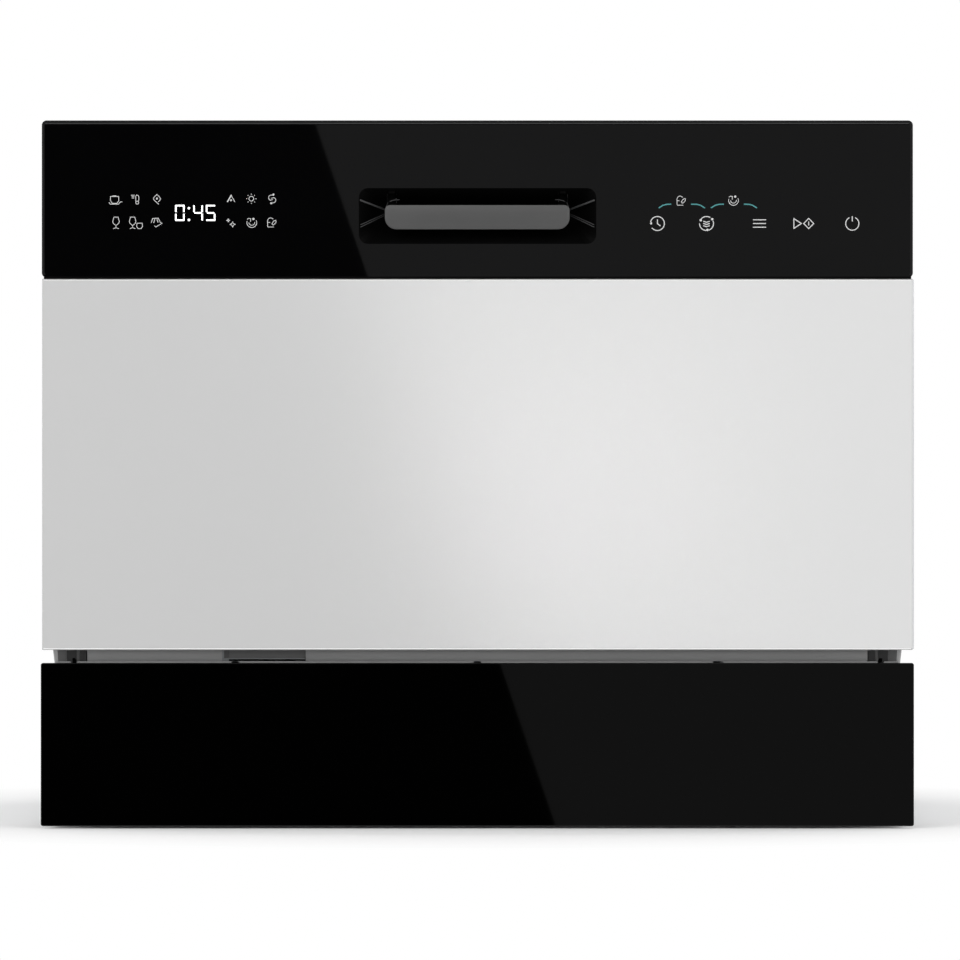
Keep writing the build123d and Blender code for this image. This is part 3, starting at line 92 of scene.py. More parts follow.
class Shade:
    # wraps one socket, so that the maths of a finish reads as plain sums
    def __init__(self, tree, socket):
        self.tree = tree
        self.socket = socket

    def node(self, kind, settings=None, values=None, out=0):
        made = self.tree.nodes.new("ShaderNode" + kind)
        for key, value in (settings or {}).items():
            setattr(made, key, value)
        for key, value in (values or {}).items():
            if isinstance(value, Shade):
                self.tree.links.new(value.socket, made.inputs[key])
            else:
                made.inputs[key].default_value = value
        return Shade(self.tree, made.outputs[out])

    def sum(self, operation, first, second):
        return self.node("Math", {"operation": operation}, {0: first, 1: second})

    def __add__(self, other):
        return self.sum("ADD", self, other)

    def __radd__(self, other):
        return self.sum("ADD", other, self)

    def __sub__(self, other):
        return self.sum("SUBTRACT", self, other)

    def __rsub__(self, other):
        return self.sum("SUBTRACT", other, self)

    def __mul__(self, other):
        return self.sum("MULTIPLY", self, other)

    def __rmul__(self, other):
        return self.sum("MULTIPLY", other, self)

    def mix(self, first, second):
        # colours through a Mix node, with this value as its factor
        return self.node("Mix", {"data_type": "RGBA"}, {0: self, 6: first, 7: second}, 2)

    def noise(self, scale, detail=2.0, squash=None):
        place = self if squash is None else self.node(
            "VectorMath", {"operation": "MULTIPLY"}, {0: self, 1: squash})
        return self.node("TexNoise", None, {"Vector": place, "Scale": scale, "Detail": detail})

    def height(self, strength, distance):
        return self.node("Bump", None, {"Height": self, "Strength": strength, "Distance": distance})


finishes = {}


def tone(colour, level=1.0):
    # a colour at a level; a single number is a grey
    parts = (colour,) * 3 if isinstance(colour, float) else colour
    return tuple(min(1.0, part * level) for part in parts) + (1.0,)


def startFinish(name, settings):
    material = finishes[name] = bpy.data.materials.new(name)
    material.use_nodes = True
    tree = material.node_tree
    shader = tree.nodes["Principled BSDF"]
    for key, value in settings.items():
        shader.inputs[key].default_value = value
    return shader, Shade(tree, tree.nodes.new("ShaderNodeTexCoord").outputs["Object"])


def feed(shader, place, sockets):
    for key, value in sockets.items():
        place.tree.links.new(value.socket, shader.inputs[key])


def moulded(name, colour, rough, grain=0.10, grainScale=2600, drift=0.08, spec=0.5):
    # injection moulded plastic: fine spark-eroded grain, cloudy tone and gloss
    shader, place = startFinish(name, {"Specular IOR Level": spec})
    cloud = place.noise(14, 3)
    fine = place.noise(grainScale, 1)
    scuff = place.noise(90, 4)
    feed(shader, place, {
        "Base Color": cloud.mix(tone(colour, 1 - drift), tone(colour, 1 + drift)),
        "Roughness": rough + (cloud - 0.5) * 0.10 + (scuff - 0.5) * 0.12,
        "Normal": (fine + scuff * 0.4).height(grain, 0.0003)})


def rolled(name, colour, rough, along, drift=0.05):
    # sheet metal with a direction: fine lines along the rolling, slow changes across it
    shader, place = startFinish(name, {"Metallic": 1.0})
    lines = place.noise(700, 3, along)
    cloud = place.noise(6, 3)
    feed(shader, place, {
        "Base Color": (lines * 0.5 + cloud * 0.5).mix(tone(colour, 1 - drift), tone(colour, 1 + drift)),
        "Roughness": rough + (lines - 0.5) * 0.10 + (cloud - 0.5) * 0.08,
        "Normal": lines.height(0.12, 0.0001)})


def sprayed(name, colour, rough, metal, peel, uneven=0.08):
    # sprayed paint: slight orange peel, tiny flakes and a slow change of tone
    shader, place = startFinish(name, {"Metallic": metal})
    wave = place.noise(420, 2)
    flake = place.noise(5200, 1)
    cloud = place.noise(4, 2)
    feed(shader, place, {
        "Base Color": (cloud * 0.6 + flake * 0.4).mix(tone(colour, 1 - uneven / 2), tone(colour, 1 + uneven / 2)),
        "Roughness": rough + (wave - 0.5) * uneven + (flake - 0.5) * uneven,
        "Normal": (wave + flake * 0.15).height(peel, 0.0003)})


def blackedGlass(name, colour, spec):
    # flat glass printed black behind, with a trace of wiping marks in its gloss
    shader, place = startFinish(name, {"Specular IOR Level": spec})
    smear = place.noise(9, 5, (1, 1, 3))
    dust = place.noise(900, 2)
    feed(shader, place, {
        "Base Color": smear.mix(tone(colour, 0.7), tone(colour, 1.3)),
        "Roughness": 0.004 + smear * 0.010 + dust * 0.006})


def litMark(name, colour, glow):
    # printed or lit marks: a matt colour with some light of its own
    shader, place = startFinish(name, {"Roughness": 0.5, "Emission Strength": glow})
    speck = place.noise(3000, 2)
    feed(shader, place, {
        "Base Color": speck.mix(tone(colour, 0.9), tone(colour)),
        "Emission Color": speck.mix(tone(colour, 0.88), tone(colour))})


sprayed("silverPanel", 0.622, 0.098, 0.29, 0.002, 0.02)
sprayed("sidePaint", (0.56, 0.57, 0.58), 0.42, 0.25, 0.10)
blackedGlass("blackGlass", (0.0008, 0.0008, 0.0009), 0.165)
blackedGlass("kickGlass", 0.0002, 0.105)
moulded("darkFrame", (0.0036, 0.0037, 0.0038), 0.40, spec=0.30)
# a mid grey, as a painted highlight along the frame's top edge
moulded("frameEdgeHighlight", 0.24, 0.35)
# near white, as painted highlights along the folded edges of the door skin
moulded("foldPaintedHighlight", 0.86, 0.30, drift=0.02)
# a black a little lighter than the pocket, as painted sheen on its ridges, on the arms' lips and along the glass's
# top edge
moulded("ridgeGrey", (0.030, 0.030, 0.031), 0.40)
# a black deeper than any plastic, as painted shade: the handle pocket's black plastic sunk in shade, and the arms,
# holes, slots and seams
moulded("pocketBlack", 0.0008, 0.42, 0.03, spec=0.06)
moulded("leverGrey", 0.052, 0.42, 0.05, drift=0.03)
moulded("blackPlastic", (0.018, 0.018, 0.019), 0.48)
# a grey lighter than the base plastic, as painted light on the sill in the gap's shade
moulded("sillPaintedLight", 0.36, 0.50, 0.05, drift=0.10)
# a darker grey, as painted shade in the sill's recess
moulded("recessPaintedShade", 0.16, 0.50, 0.05)
# greys darkened step by step, as painted shade on the parts at the ends of the gap
moulded("cornerPaintedShade", 0.13, 0.45, 0.05)
moulded("stepPaintedShade", 0.095, 0.50, 0.05)
moulded("stepDeepPaintedShade", 0.050, 0.50, 0.05)
# the side panel's front flange in a grey set to its lit tone: its own light colour with painted light
moulded("wedgePaintedLight", 0.30, 0.50, 0.05)
# a grey far lighter than the carrier's black, as a painted highlight on its upper edge
moulded("kickEdgeHighlight", 0.165, 0.40, 0.05)
moulded("basePlastic", (0.26, 0.27, 0.275), 0.50)
moulded("greyPlastic", (0.38, 0.39, 0.40), 0.42)
moulded("whitePlastic", (0.74, 0.75, 0.75), 0.38, drift=0.03)
moulded("capGrey", (0.27, 0.30, 0.33), 0.40)
moulded("filterGrey", (0.21, 0.22, 0.24), 0.45)
moulded("basketGrey", (0.33, 0.36, 0.39), 0.42)
moulded("wireCoat", (0.30, 0.33, 0.36), 0.30, 0.03, 900, 0.05)
moulded("sealRubber", (0.045, 0.045, 0.047), 0.62, 0.05, 1500)
moulded("footRubber", (0.030, 0.030, 0.031), 0.72, 0.18, 1500)
moulded("boardGreen", (0.02, 0.10, 0.05), 0.35)
moulded("bitumenPad", (0.035, 0.034, 0.033), 0.85, 0.5, 500, 0.3)
rolled("tubSteel", (0.66, 0.66, 0.67), 0.22, (1, 0.02, 1))
rolled("linerSteel", (0.67, 0.67, 0.68), 0.24, (0.02, 1, 1))
rolled("zincSteel", (0.55, 0.56, 0.58), 0.36, (1, 0.2, 1), 0.14)
rolled("springSteel", (0.45, 0.45, 0.46), 0.28, (1, 1, 1))
litMark("iconPrint", 0.42, 0.35)
litMark("digitLight", 1.0, 1.0)
litMark("linkLight", (0.045, 0.20, 0.205), 0.15)
print("finishes made")

dressing = {
    "sidePaint": "side_panels top_cover rear_panel", "silverPanel": "door_panel", "darkFrame": "fascia_frame",
    "blackGlass": "fascia_glass", "kickGlass": "kick_glass", "pocketBlack": "handle_pocket",
    "basePlastic": "base_tray", "blackPlastic": "kick_carrier sump cord_gland float_switch",
    "tubSteel": "tub_wrap tub_back tub_floor tub_collar filter_plate", "linerSteel": "door_liner",
    "greyPlastic": "drain_spigot overflow_float dispenser_body dispenser_lid", "sealRubber": "inner_hoses",
    "whitePlastic": "softener circulation_pump drain_pump inlet_valve air_break door_lock_case",
    "zincSteel": "hinge_brackets hinge_arms latch_hook", "springSteel": "strike spring_links",
    "bitumenPad": "door_insulation", "boardGreen": "control_boards", "basketGrey": "rack_clips cup_shelf"}


def dress(thing, finishName):
    thing.data.materials.clear()
    thing.data.materials.append(finishes[finishName])


for finishName, nodeNames in dressing.items():
    for nodeName in nodeNames.split():
        dress(nodes[nodeName], finishName)
print("nodes dressed")


# Making pieces

sharpFrom = math.radians(40)
printFront, printBack = frontY - 0.00002, frontY + 0.0002  # print lies a hair before the glass


def piece(finishName, body, slot, *replaced, name=None):
    # makes a piece of the function below, named after it unless a name is given
    def make(build):
        bm = bmesh.new()
        build(bm)
        bmesh.ops.recalc_face_normals(bm, faces=bm.faces)
        mesh = bpy.data.meshes.new(name or build.__name__)
        bm.to_mesh(mesh)
        bm.free()
        mesh.shade_smooth()
        mesh.set_sharp_from_angle(angle=sharpFrom)
        made = bpy.data.objects.new(name or build.__name__, mesh)
        bpy.context.scene.collection.objects.link(made)
        dress(made, finishName)
        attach(made, body)
        if replaced:
            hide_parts(*replaced)
            for nodeName in replaced:
                dress(nodes[nodeName], finishName)

    return make


def joinRims(bm, rims, loop=False):
    # skins one rim of places to the next; a rim of one place is a tip, and open ends are capped
    rims = [[bm.verts.new(spot) for spot in rim] for rim in rims]
    for a, b in list(zip(rims, rims[1:])) + ([(rims[-1], rims[0])] if loop else []):
        for n in range(max(len(a), len(b))):
            if len(a) == 1:
                bm.faces.new((a[0], b[n], b[n - 1]))
            elif len(b) == 1:
                bm.faces.new((a[n - 1], a[n], b[0]))
            else:
                bm.faces.new((a[n - 1], a[n], b[n], b[n - 1]))
    for rim in () if loop else (rims[0], rims[-1]):
        if len(rim) > 2:
            bm.faces.new(rim)


def circle(centre, axis, radius, count, first=0.0, side=None):
    along = Vector(axis)
    side = side or along.orthogonal().normalized()
    other = along.cross(side)
    angles = [turn * (n / count + first) for n in range(count)]
    return [Vector(centre) + radius * (math.cos(angle) * side + math.sin(angle) * other) for angle in angles]


def addRibbon(bm, points, width, closed):
    # a flat stroke with mitred corners
    half = width / 2
    count = len(points)
    rails = []
    for index, point in enumerate(points):
        ways = []
        if index or closed:
            ways.append((point - points[index - 1]).normalized())
        if index < count - 1 or closed:
            ways.append((points[(index + 1) % count] - point).normalized())
        way = sum(ways, Vector((0, 0))).normalized()
        side = Vector((-way.y, way.x))
        reach = half / max(0.45, side.dot(Vector((-ways[0].y, ways[0].x))))
        end = way * half * 0.6 * (1 if index else -1) if len(ways) == 1 else Vector((0, 0))
        middle = point + end
        rails.append([(middle.x + side.x * reach * edge, depth, middle.y + side.y * reach * edge)
                      for edge, depth in ((1, printFront), (-1, printFront), (-1, printBack), (1, printBack))])
    joinRims(bm, rails, closed)


def strokes(name, lines, finishName, width, slot="white_plastic"):
    # every stroke is a list of photo pixels, and "closed" at its start joins its ends
    @piece(finishName, "door", slot, name=name)
    def build(bm):
        for line in lines:
            closed = line[0] == "closed"
            points = [Vector((photoX(column), photoZ(row))) for column, row in line[closed:]]
            addRibbon(bm, points, width, closed)


def dots(name, spots, finishName):
    # small filled marks: column, row, half width and half height in photo pixels
    @piece(finishName, "door", "white_plastic", name=name)
    def build(bm):
        for column, row, wide, tall in spots:
            joinRims(bm, [[(photoX(column + wide * math.cos(turn * n / 16)), depth,
                            photoZ(row - tall * math.sin(turn * n / 16))) for n in range(16)]
                          for depth in (printFront, printBack)])


# Marks on the control panel, as strokes in photo pixels from each mark's middle

def arc(x, y, radius, start, end, steps):
    # degrees from the right, turning upwards
    angles = [math.radians(start + (end - start) * step / steps) for step in range(steps + 1)]
    return [(x + radius * math.cos(angle), y - radius * math.sin(angle)) for angle in angles]


def ring(x, y, radius, steps):
    return ["closed"] + arc(x, y, radius, 0, 360 * (steps - 1) / steps, steps - 1)


def sparkle(x, y, size):
    return ["closed"] + [(x + reach * math.cos(turn * n / 8), y - reach * math.sin(turn * n / 8))
                         for n, reach in enumerate((size, size * 0.42) * 4)]


marks = {
    "wineGlass": [["closed", (-2.1, -5.6), (2.1, -5.6), (3.3, -1.2), (2.6, 0.8), (0, 2.8), (-2.6, 0.8), (-3.3, -1.2)],
                  [(0, 2.8), (0, 5.2)], [(-2.6, 5.9), (0, 5.0), (2.6, 5.9)]],
    "beaker": [["closed", (-2.6, -2.7), (2.6, -2.7), (3.0, 0.5), (1.6, 2.7), (-1.6, 2.7), (-3.0, 0.5)]],
    "leafSwirl": [[(1.8, 5.0), (-2.9, 0.8), (-3.5, -0.7), (-2.6, -2.3), (0, -4.8), (2.6, -2.3), (3.6, -0.5),
                   (2.9, 1.2), (1.4, 2.5)]],
    "handSpray": [[(-4.8, 0.2), (-3.4, -4.0), (2.2, -4.2), (4.2, -0.2), (5.9, 1.0), (-0.4, 4.6), (-1.6, 3.4)],
                  [(-2.4, 0.4), (-1.2, -3.4)], [(0.9, -3.4), (1.9, 0)]],
    "potOnTray": [["closed", (-4.1, -2.7), (4.0, -2.7), (4.2, 1.6), (2.2, 4.2), (-2.2, 4.2), (-4.2, 1.6)],
                  [(-1.4, -3.4), (1.4, -3.4)], [(-5.6, 3.2), (-4.4, 4.9), (4.0, 4.9), (5.8, 2.7), (7.4, 2.7)]],
    "thermometer": [[(-0.6, 2.0), (-0.9, 0.6), (-0.9, -2.2), *arc(0.6, -2.6, 1.6, 165, 0, 8), (2.2, 0.6), (1.8, 2.0)],
                    ring(0.6, 3.2, 1.5, 12),
                    [(-5.4, -4.2), (-2.2, -4.2)], [(-4.8, -2.8), (-2.4, -2.8)], [(-4.4, -1.4), (-2.6, -1.4)]],
    "sunburst": [ring(0, 0, 2.4, 14)] + [[(reach * math.cos(turn * n / 8), -reach * math.sin(turn * n / 8))
                                          for reach in (4.3, 4.9)] for n in range(8)],
    "doubleTurn": [[(0.6, -3.7), *arc(-0.8, -1.2, 2.7, 90, 250, 8), (0.6, 0.6)],
                   [(-0.8, 3.9), *arc(1.0, 1.2, 2.7, -90, 70, 8), (-0.8, -0.6)]],
    "sparkles": [sparkle(-2.6, -2.4, 1.5), sparkle(1.8, 1.6, 2.6)],
    "washBasket": [arc(0.2, 0, 4.9, 165, 385, 18), arc(0.2, -0.2, 2.9, 185, 362, 12),
                   [(-4.4, -3.4), (-2.8, -4.2), (-0.9, -3.9), (-1.1, -0.9)]],
    "handWipe": [[(2.2, 4.6), (-3.4, 4.6), (-3.9, 4.0), (-3.9, -1.2), *arc(-0.8, -1.4, 3.1, 172, 40, 9)],
                 ["closed", (0.4, 1.4), (2.0, -1.2), (4.2, -2.2), (4.6, -0.6), (3.4, 1.4), (1.6, 2.6)],
                 [(-3.5, 0.1), (-1.6, 0.1)]],
    "peakMark": [[(-3.9, 3.2), (0, -3.6), (3.9, 3.2)], [(-3.3, 3.2), (0.1, -2.6)], ring(0, 1.6, 0.7, 8)],
    "clockTurn": [arc(0, 0, 7.0, 176, -140, 26), [(0, -3.8), (0, 0.2), (2.8, 2.2)]],
    "cycleRing": [arc(0, 0, 7.0, 140, 60, 8), arc(0, 0, 7.0, 20, -70, 8), arc(0, 0, 7.0, -95, -178, 8)]
    + [[(-3.0, row), (0, row + 1.0), (3.0, row)] for row in (-2.2, 0, 2.2)],
    "menuLines": [[(-6.3, row), (6.3, row)] for row in (-3.7, 0, 3.7)],
    "startPause": [["closed", (-9.9, -4.9), (-2.4, 0), (-9.9, 4.9)], [(4.9, -1.7), (4.9, 1.7)],
                   ["closed", (4.9, -5.1), (9.9, 0), (4.9, 5.1), (-0.1, 0)]],
    "powerMark": [arc(0, 0.6, 6.6, 62, -242, 26), [(0, -6.6), (0, -1.8)]]}

# stroke width, then every mark with its column and row
panelMarks = {
    "leftMarks": (0.00037, ("potOnTray", 114.6, 199.2), ("thermometer", 136.6, 199.4), ("leafSwirl", 156.9, 199.2),
                  ("wineGlass", 116.0, 222.7), ("wineGlass", 132.6, 222.7), ("beaker", 139.6, 225.9),
                  ("handSpray", 156.1, 222.4)),
    "rightMarks": (0.00037, ("peakMark", 231.0, 198.6), ("sunburst", 251.3, 198.7), ("doubleTurn", 272.1, 198.9),
                   ("sparkles", 230.8, 222.8), ("washBasket", 251.6, 222.6), ("handWipe", 271.5, 222.4)),
    "helperMarks": (0.00037, ("handWipe", 680.9, 200.6), ("washBasket", 733.3, 200.4)),
    "keyMarks": (0.00056, ("clockTurn", 657.4, 223.5), ("cycleRing", 706.5, 223.5), ("menuLines", 759.5, 223.5),
                 ("startPause", 803.8, 223.5), ("powerMark", 852.3, 223.0))}

for group, (width, *chosen) in panelMarks.items():
    strokes(group, [[spot if spot == "closed" else (column + spot[0], row + spot[1]) for spot in line]
                    for mark, column, row in chosen for line in marks[mark]], "iconPrint", width)
dots("keyDots", [(651.0, 223.2, 1.1, 1.3), (700.7, 220.2, 1.2, 1.2), (712.2, 219.2, 1.2, 1.2),
                 (707.4, 229.9, 1.2, 1.2)], "iconPrint")
dots("markDots", [(156.9, 198.6, 0.8, 1.1), (273.4, 194.6, 1.0, 1.0), (271.2, 203.2, 1.0, 1.0),
                  (253.4, 219.0, 1.1, 1.1), (735.2, 196.6, 1.1, 1.1)], "iconPrint")
strokes("linkArcs", [[(outer, 207.8), (outer + way * 4.2, 205.2), (outer + way * 8.0, 204.3), (inner, 204.2)]
                     for outer, inner, way in ((659.0, 670.8, 1), (704.6, 691.4, -1), (711.2, 723.6, 1),
                                               (756.6, 744.2, -1))], "linkLight", 0.00074)

# Seven-segment digits, as the display shows them
digits = {"top": 205.6, "middle": 212.9, "bottom": 220.2, "stroke": 0.00088, "gap": 1.30,
          "shown": ((175.8, 183.8, "abcdef"), (194.0, 202.2, "fgbc"), (206.6, 214.6, "afgcd"))}


def digit(left, right, segments):
    top, middle, bottom, gap = (digits[key] for key in ("top", "middle", "bottom", "gap"))
    bars = {"a": [(left, top), (right, top)], "g": [(left + 0.8, middle), (right - 0.8, middle)],
            "d": [(left, bottom), (right, bottom)],
            "f": [(left, top + 0.3), (left, middle - gap)], "b": [(right, top + 0.3), (right, middle - gap)],
            "e": [(left, middle + gap), (left, bottom - 0.3)], "c": [(right, middle + gap), (right, bottom - 0.3)]}
    return [bars[key] for key in segments]


strokes("displayDigits", [bar for shown in digits["shown"] for bar in digit(*shown)], "digitLight", digits["stroke"])
dots("displayColon", [(188.9, row, 1.15, 1.15) for row in (208.2, 219.9)], "digitLight")
print("control panel marked")


# Wires, turned parts, blocks and sweeps

def spread(start, end, count):
    return [start + (end - start) * n / (count - 1) for n in range(count)]


def middleOf(node):
    low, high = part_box(node)
    return (low + high) / 2


def rounded(spots, radius, steps=5):
    # a path of straight runs whose corners are turned with arcs
    points = [Vector(spot) for spot in spots]
    path = [points[0]]
    for before, corner, after in zip(points, points[1:], points[2:]):
        back = (before - corner).normalized()
        on = (after - corner).normalized()
        half = back.angle(on) / 2
        centre = corner + (back + on).normalized() * (radius / math.sin(half))
        first = (corner + back * (radius / math.tan(half)) - centre).normalized()
        last = (corner + on * (radius / math.tan(half)) - centre).normalized()
        path += [centre + radius * first.slerp(last, n / steps) for n in range(steps + 1)]
    return path + [points[-1]]


def addTube(bm, spots, radius, sides=10, loop=False):
    # a wire along a path, with rounded ends
    points = [Vector(spot) for spot in spots]
    count = len(points)
    ways = [(points[(n + 1) % count if n < count - 1 or loop else n]
             - points[n - 1 if n or loop else n]).normalized() for n in range(count)]
    stations = [(point, way, radius) for point, way in zip(points, ways)]
    if not loop:
        ends = ((0.35, 0.94), (0.75, 0.66), (0.95, 0.30))
        stations = [(points[0] - ways[0] * radius * out, ways[0], radius * wide) for out, wide in reversed(ends)] \
            + stations + [(points[-1] + ways[-1] * radius * out, ways[-1], radius * wide) for out, wide in ends]
    side = ways[0].orthogonal().normalized()
    rims = []
    for spot, way, reach in stations:
        side = (side - way * side.dot(way)).normalized()
        rims.append(circle(spot, way, reach, sides, 0.0, side))
    joinRims(bm, rims, loop)


def addLathe(bm, profile, centre, axis, steps=32):
    # turns (radius, along) points round an axis; a radius of zero closes an end
    rims = []
    for reach, on in profile:
        spot = Vector(centre) + Vector(axis) * on
        rims.append(circle(spot, axis, reach, steps) if reach else [spot])
    joinRims(bm, rims, len(rims[0]) > 1)


def hoop(inner, outer, low, high):
    return [(inner, low), (outer, low), (outer, high), (inner, high)]


def addRidges(bm, centre, axis, radius, count, start, end, thick=0.0005, sides=6, first=0.0):
    # short bars round a cap, foot or cup
    for spot in circle(centre, axis, radius, count, first):
        addTube(bm, [spot + Vector(axis) * start, spot + Vector(axis) * end], thick, sides)


def addBlock(bm, low, high, soft):
    # a block with its edges softened
    verts = [bm.verts.new((x, y, z)) for x in (low[0], high[0]) for y in (low[1], high[1]) for z in (low[2], high[2])]
    faces = [bm.faces.new([verts[n] for n in ids]) for ids in (
        (0, 1, 3, 2), (4, 6, 7, 5), (0, 4, 5, 1), (2, 3, 7, 6), (0, 2, 6, 4), (1, 5, 7, 3))]
    edges = list({edge for face in faces for edge in face.edges})
    bmesh.ops.bevel(bm, geom=edges, offset=soft, segments=2, profile=0.6, affect="EDGES")


def addPlan(bm, spots, low, high):
    # an upright block over an (x, y) outline
    joinRims(bm, [[(x, y, z) for x, y in spots] for z in (low, high)])


def roundRect(width, tall, radius, centre, steps):
    # points and outward directions round a rectangle with round corners
    spots = []
    for quarter, (sx, sy) in enumerate(((1, 1), (-1, 1), (-1, -1), (1, -1))):
        for n in range(steps + 1):
            angle = math.radians(90 * quarter + 90 * n / steps)
            out = Vector((math.cos(angle), math.sin(angle)))
            spots.append((Vector((centre[0] + sx * (width / 2 - radius), centre[1] + sy * (tall / 2 - radius)))
                          + out * radius, out))
    return spots


def addSweep(bm, outline, profile):
    # carries an (outwards, y) profile round an upright outline of (x, z) points
    joinRims(bm, [[(spot.x + way.x * out, y, spot.y + way.y * out) for out, y in profile]
                  for spot, way in outline], True)


# Rack: bent wires under a grey coat

rack = {"half": 0.216, "front": -0.193, "back": 0.203, "floor": 0.180, "rim": 0.290, "middle": 0.235,
        "fine": 0.0016, "thick": 0.0020, "weld": 0.00002, "clear": 0.024, "bend": 0.007, "corner": 0.020,
        "endWires": 12, "sideWires": 8, "bead": [(0, -0.0016), (0.0016, -0.0008), (0.0019, 0), (0.0016, 0.0008),
                                                 (0, 0.0016)]}
rack["step"] = rack["fine"] + rack["thick"] + rack["weld"]
rack["low"] = rack["floor"] + rack["fine"]
rack["cross"] = rack["low"] + 2 * rack["fine"] + rack["weld"]
wireHalf = rack["half"] - rack["thick"] - rack["step"]
wireFront = rack["front"] + rack["thick"] + rack["step"]
wireBack = rack["back"] - rack["thick"] - rack["step"]
wireTop = rack["rim"] + 0.001


@piece("wireCoat", "rack", "wire_coat", "rack_floor")
def rackLongWires(bm):
    low = rack["low"]
    for x in spread(rack["clear"] - wireHalf, wireHalf - rack["clear"], rack["endWires"]):
        addTube(bm, rounded([(x, wireFront, wireTop), (x, wireFront, low), (x, wireBack, low),
                             (x, wireBack, wireTop)], rack["bend"]), rack["fine"])


@piece("wireCoat", "rack", "wire_coat", "rack_sides")
def rackCrossWires(bm):
    low = rack["cross"]
    for y in spread(wireFront + rack["clear"], wireBack - rack["clear"], rack["sideWires"]):
        addTube(bm, rounded([(-wireHalf, y, wireTop), (-wireHalf, y, low), (wireHalf, y, low),
                             (wireHalf, y, wireTop)], rack["bend"]), rack["fine"])


@piece("wireCoat", "rack", "wire_coat", "rack_ends")
def rackRims(bm):
    half = rack["half"] - rack["thick"]
    front, back = rack["front"] + rack["thick"], rack["back"] - rack["thick"]
    for z in (rack["middle"], rack["rim"]):
        outline = roundRect(2 * half, back - front, rack["corner"], (0, (front + back) / 2), 7)
        addTube(bm, [(spot.x, spot.y, z) for spot, way in outline], rack["thick"], 10, True)
        for side in (-1, 1):  # small beads of weld where the wires cross
            for y in spread(wireFront + rack["clear"], wireBack - rack["clear"], rack["sideWires"]):
                addLathe(bm, rack["bead"], (side * (half - rack["thick"]), y, z), inward, 8)


tines = {"left": -0.190, "pitch": 0.027, "count": 12, "height": 0.066, "over": 0.008}


def tineRow(bm, row):
    y = middleOf(row).y
    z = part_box(row)[0].z + rack["thick"]
    last = tines["left"] + tines["pitch"] * (tines["count"] - 1)
    addTube(bm, [(tines["left"] - tines["over"], y, z), (last + tines["over"], y, z)], rack["thick"] - 0.00005, 12)
    for n in range(tines["count"]):
        x = tines["left"] + tines["pitch"] * n
        addTube(bm, [(x, y, z), (x, y, z + tines["height"] * 0.5), (x, y, z + tines["height"] - 0.001)], rack["fine"])
        addLathe(bm, [(0, 0), (0.0026, 0.0004), (0.0021, 0.0030), (rack["fine"], 0.0044), (0, 0.0046)],
                 (x, y, z + rack["thick"] * 0.4), up, 10)


for row in ("tine_row_front", "tine_row_rear"):
    piece("wireCoat", row, "wire_coat", row, name=row + "_wires")(lambda bm: tineRow(bm, row))

wheel = {"radius": 0.011, "bore": 0.00308, "width": 0.007, "x": 0.2315, "spokes": 5}


def wheelPair(bm, node):
    y, z = middleOf(node).yz
    r, hub, half = wheel["radius"], wheel["bore"], wheel["width"] / 2
    tyre = [(r - 0.0022, -half), (r - 0.0006, -half), (r, -half + 0.0007)]
    for groove in (-0.0014, 0.0, 0.0014):
        tyre += [(r, groove - 0.0005), (r - 0.0004, groove), (r, groove + 0.0005)]
    tyre += [(r, half - 0.0007), (r - 0.0006, half), (r - 0.0022, half), (r - 0.0024, 0)]
    for side in (-1, 1):
        spot = (side * wheel["x"], y, z)
        addLathe(bm, tyre, spot, across, 40)
        addLathe(bm, [(hub, -half), (hub + 0.0016, -half), (hub + 0.0019, -half + 0.0004),
                      (hub + 0.0019, half - 0.0004), (hub + 0.0016, half), (hub, half)], spot, across, 28)
        addLathe(bm, hoop(hub + 0.0015, r - 0.0022, -0.0008, 0.0008), spot, across, 28)
        for n in range(wheel["spokes"]):
            angle = turn * n / wheel["spokes"]
            out = Vector((0, math.cos(angle), math.sin(angle)))
            addTube(bm, [Vector(spot) + out * (hub + 0.0012), Vector(spot) + out * (r - 0.0026)], 0.0011, 8)


for axle in ("Front", "Rear"):
    node = "rack_wheels_" + axle.lower()
    piece("basketGrey", "wheels_" + axle.lower(), "grey_plastic", node, name="wheels" + axle)(
        lambda bm: wheelPair(bm, node))
print("rack wired")


# Cutlery basket: open lattice with rounded bars, dividers and an arched handle

basket = {"wallHeight": 0.106, "bar": 0.0022, "sideBars": 20, "endBars": 7, "bands": 6, "handleRise": 0.024,
          "handleIn": 0.043}


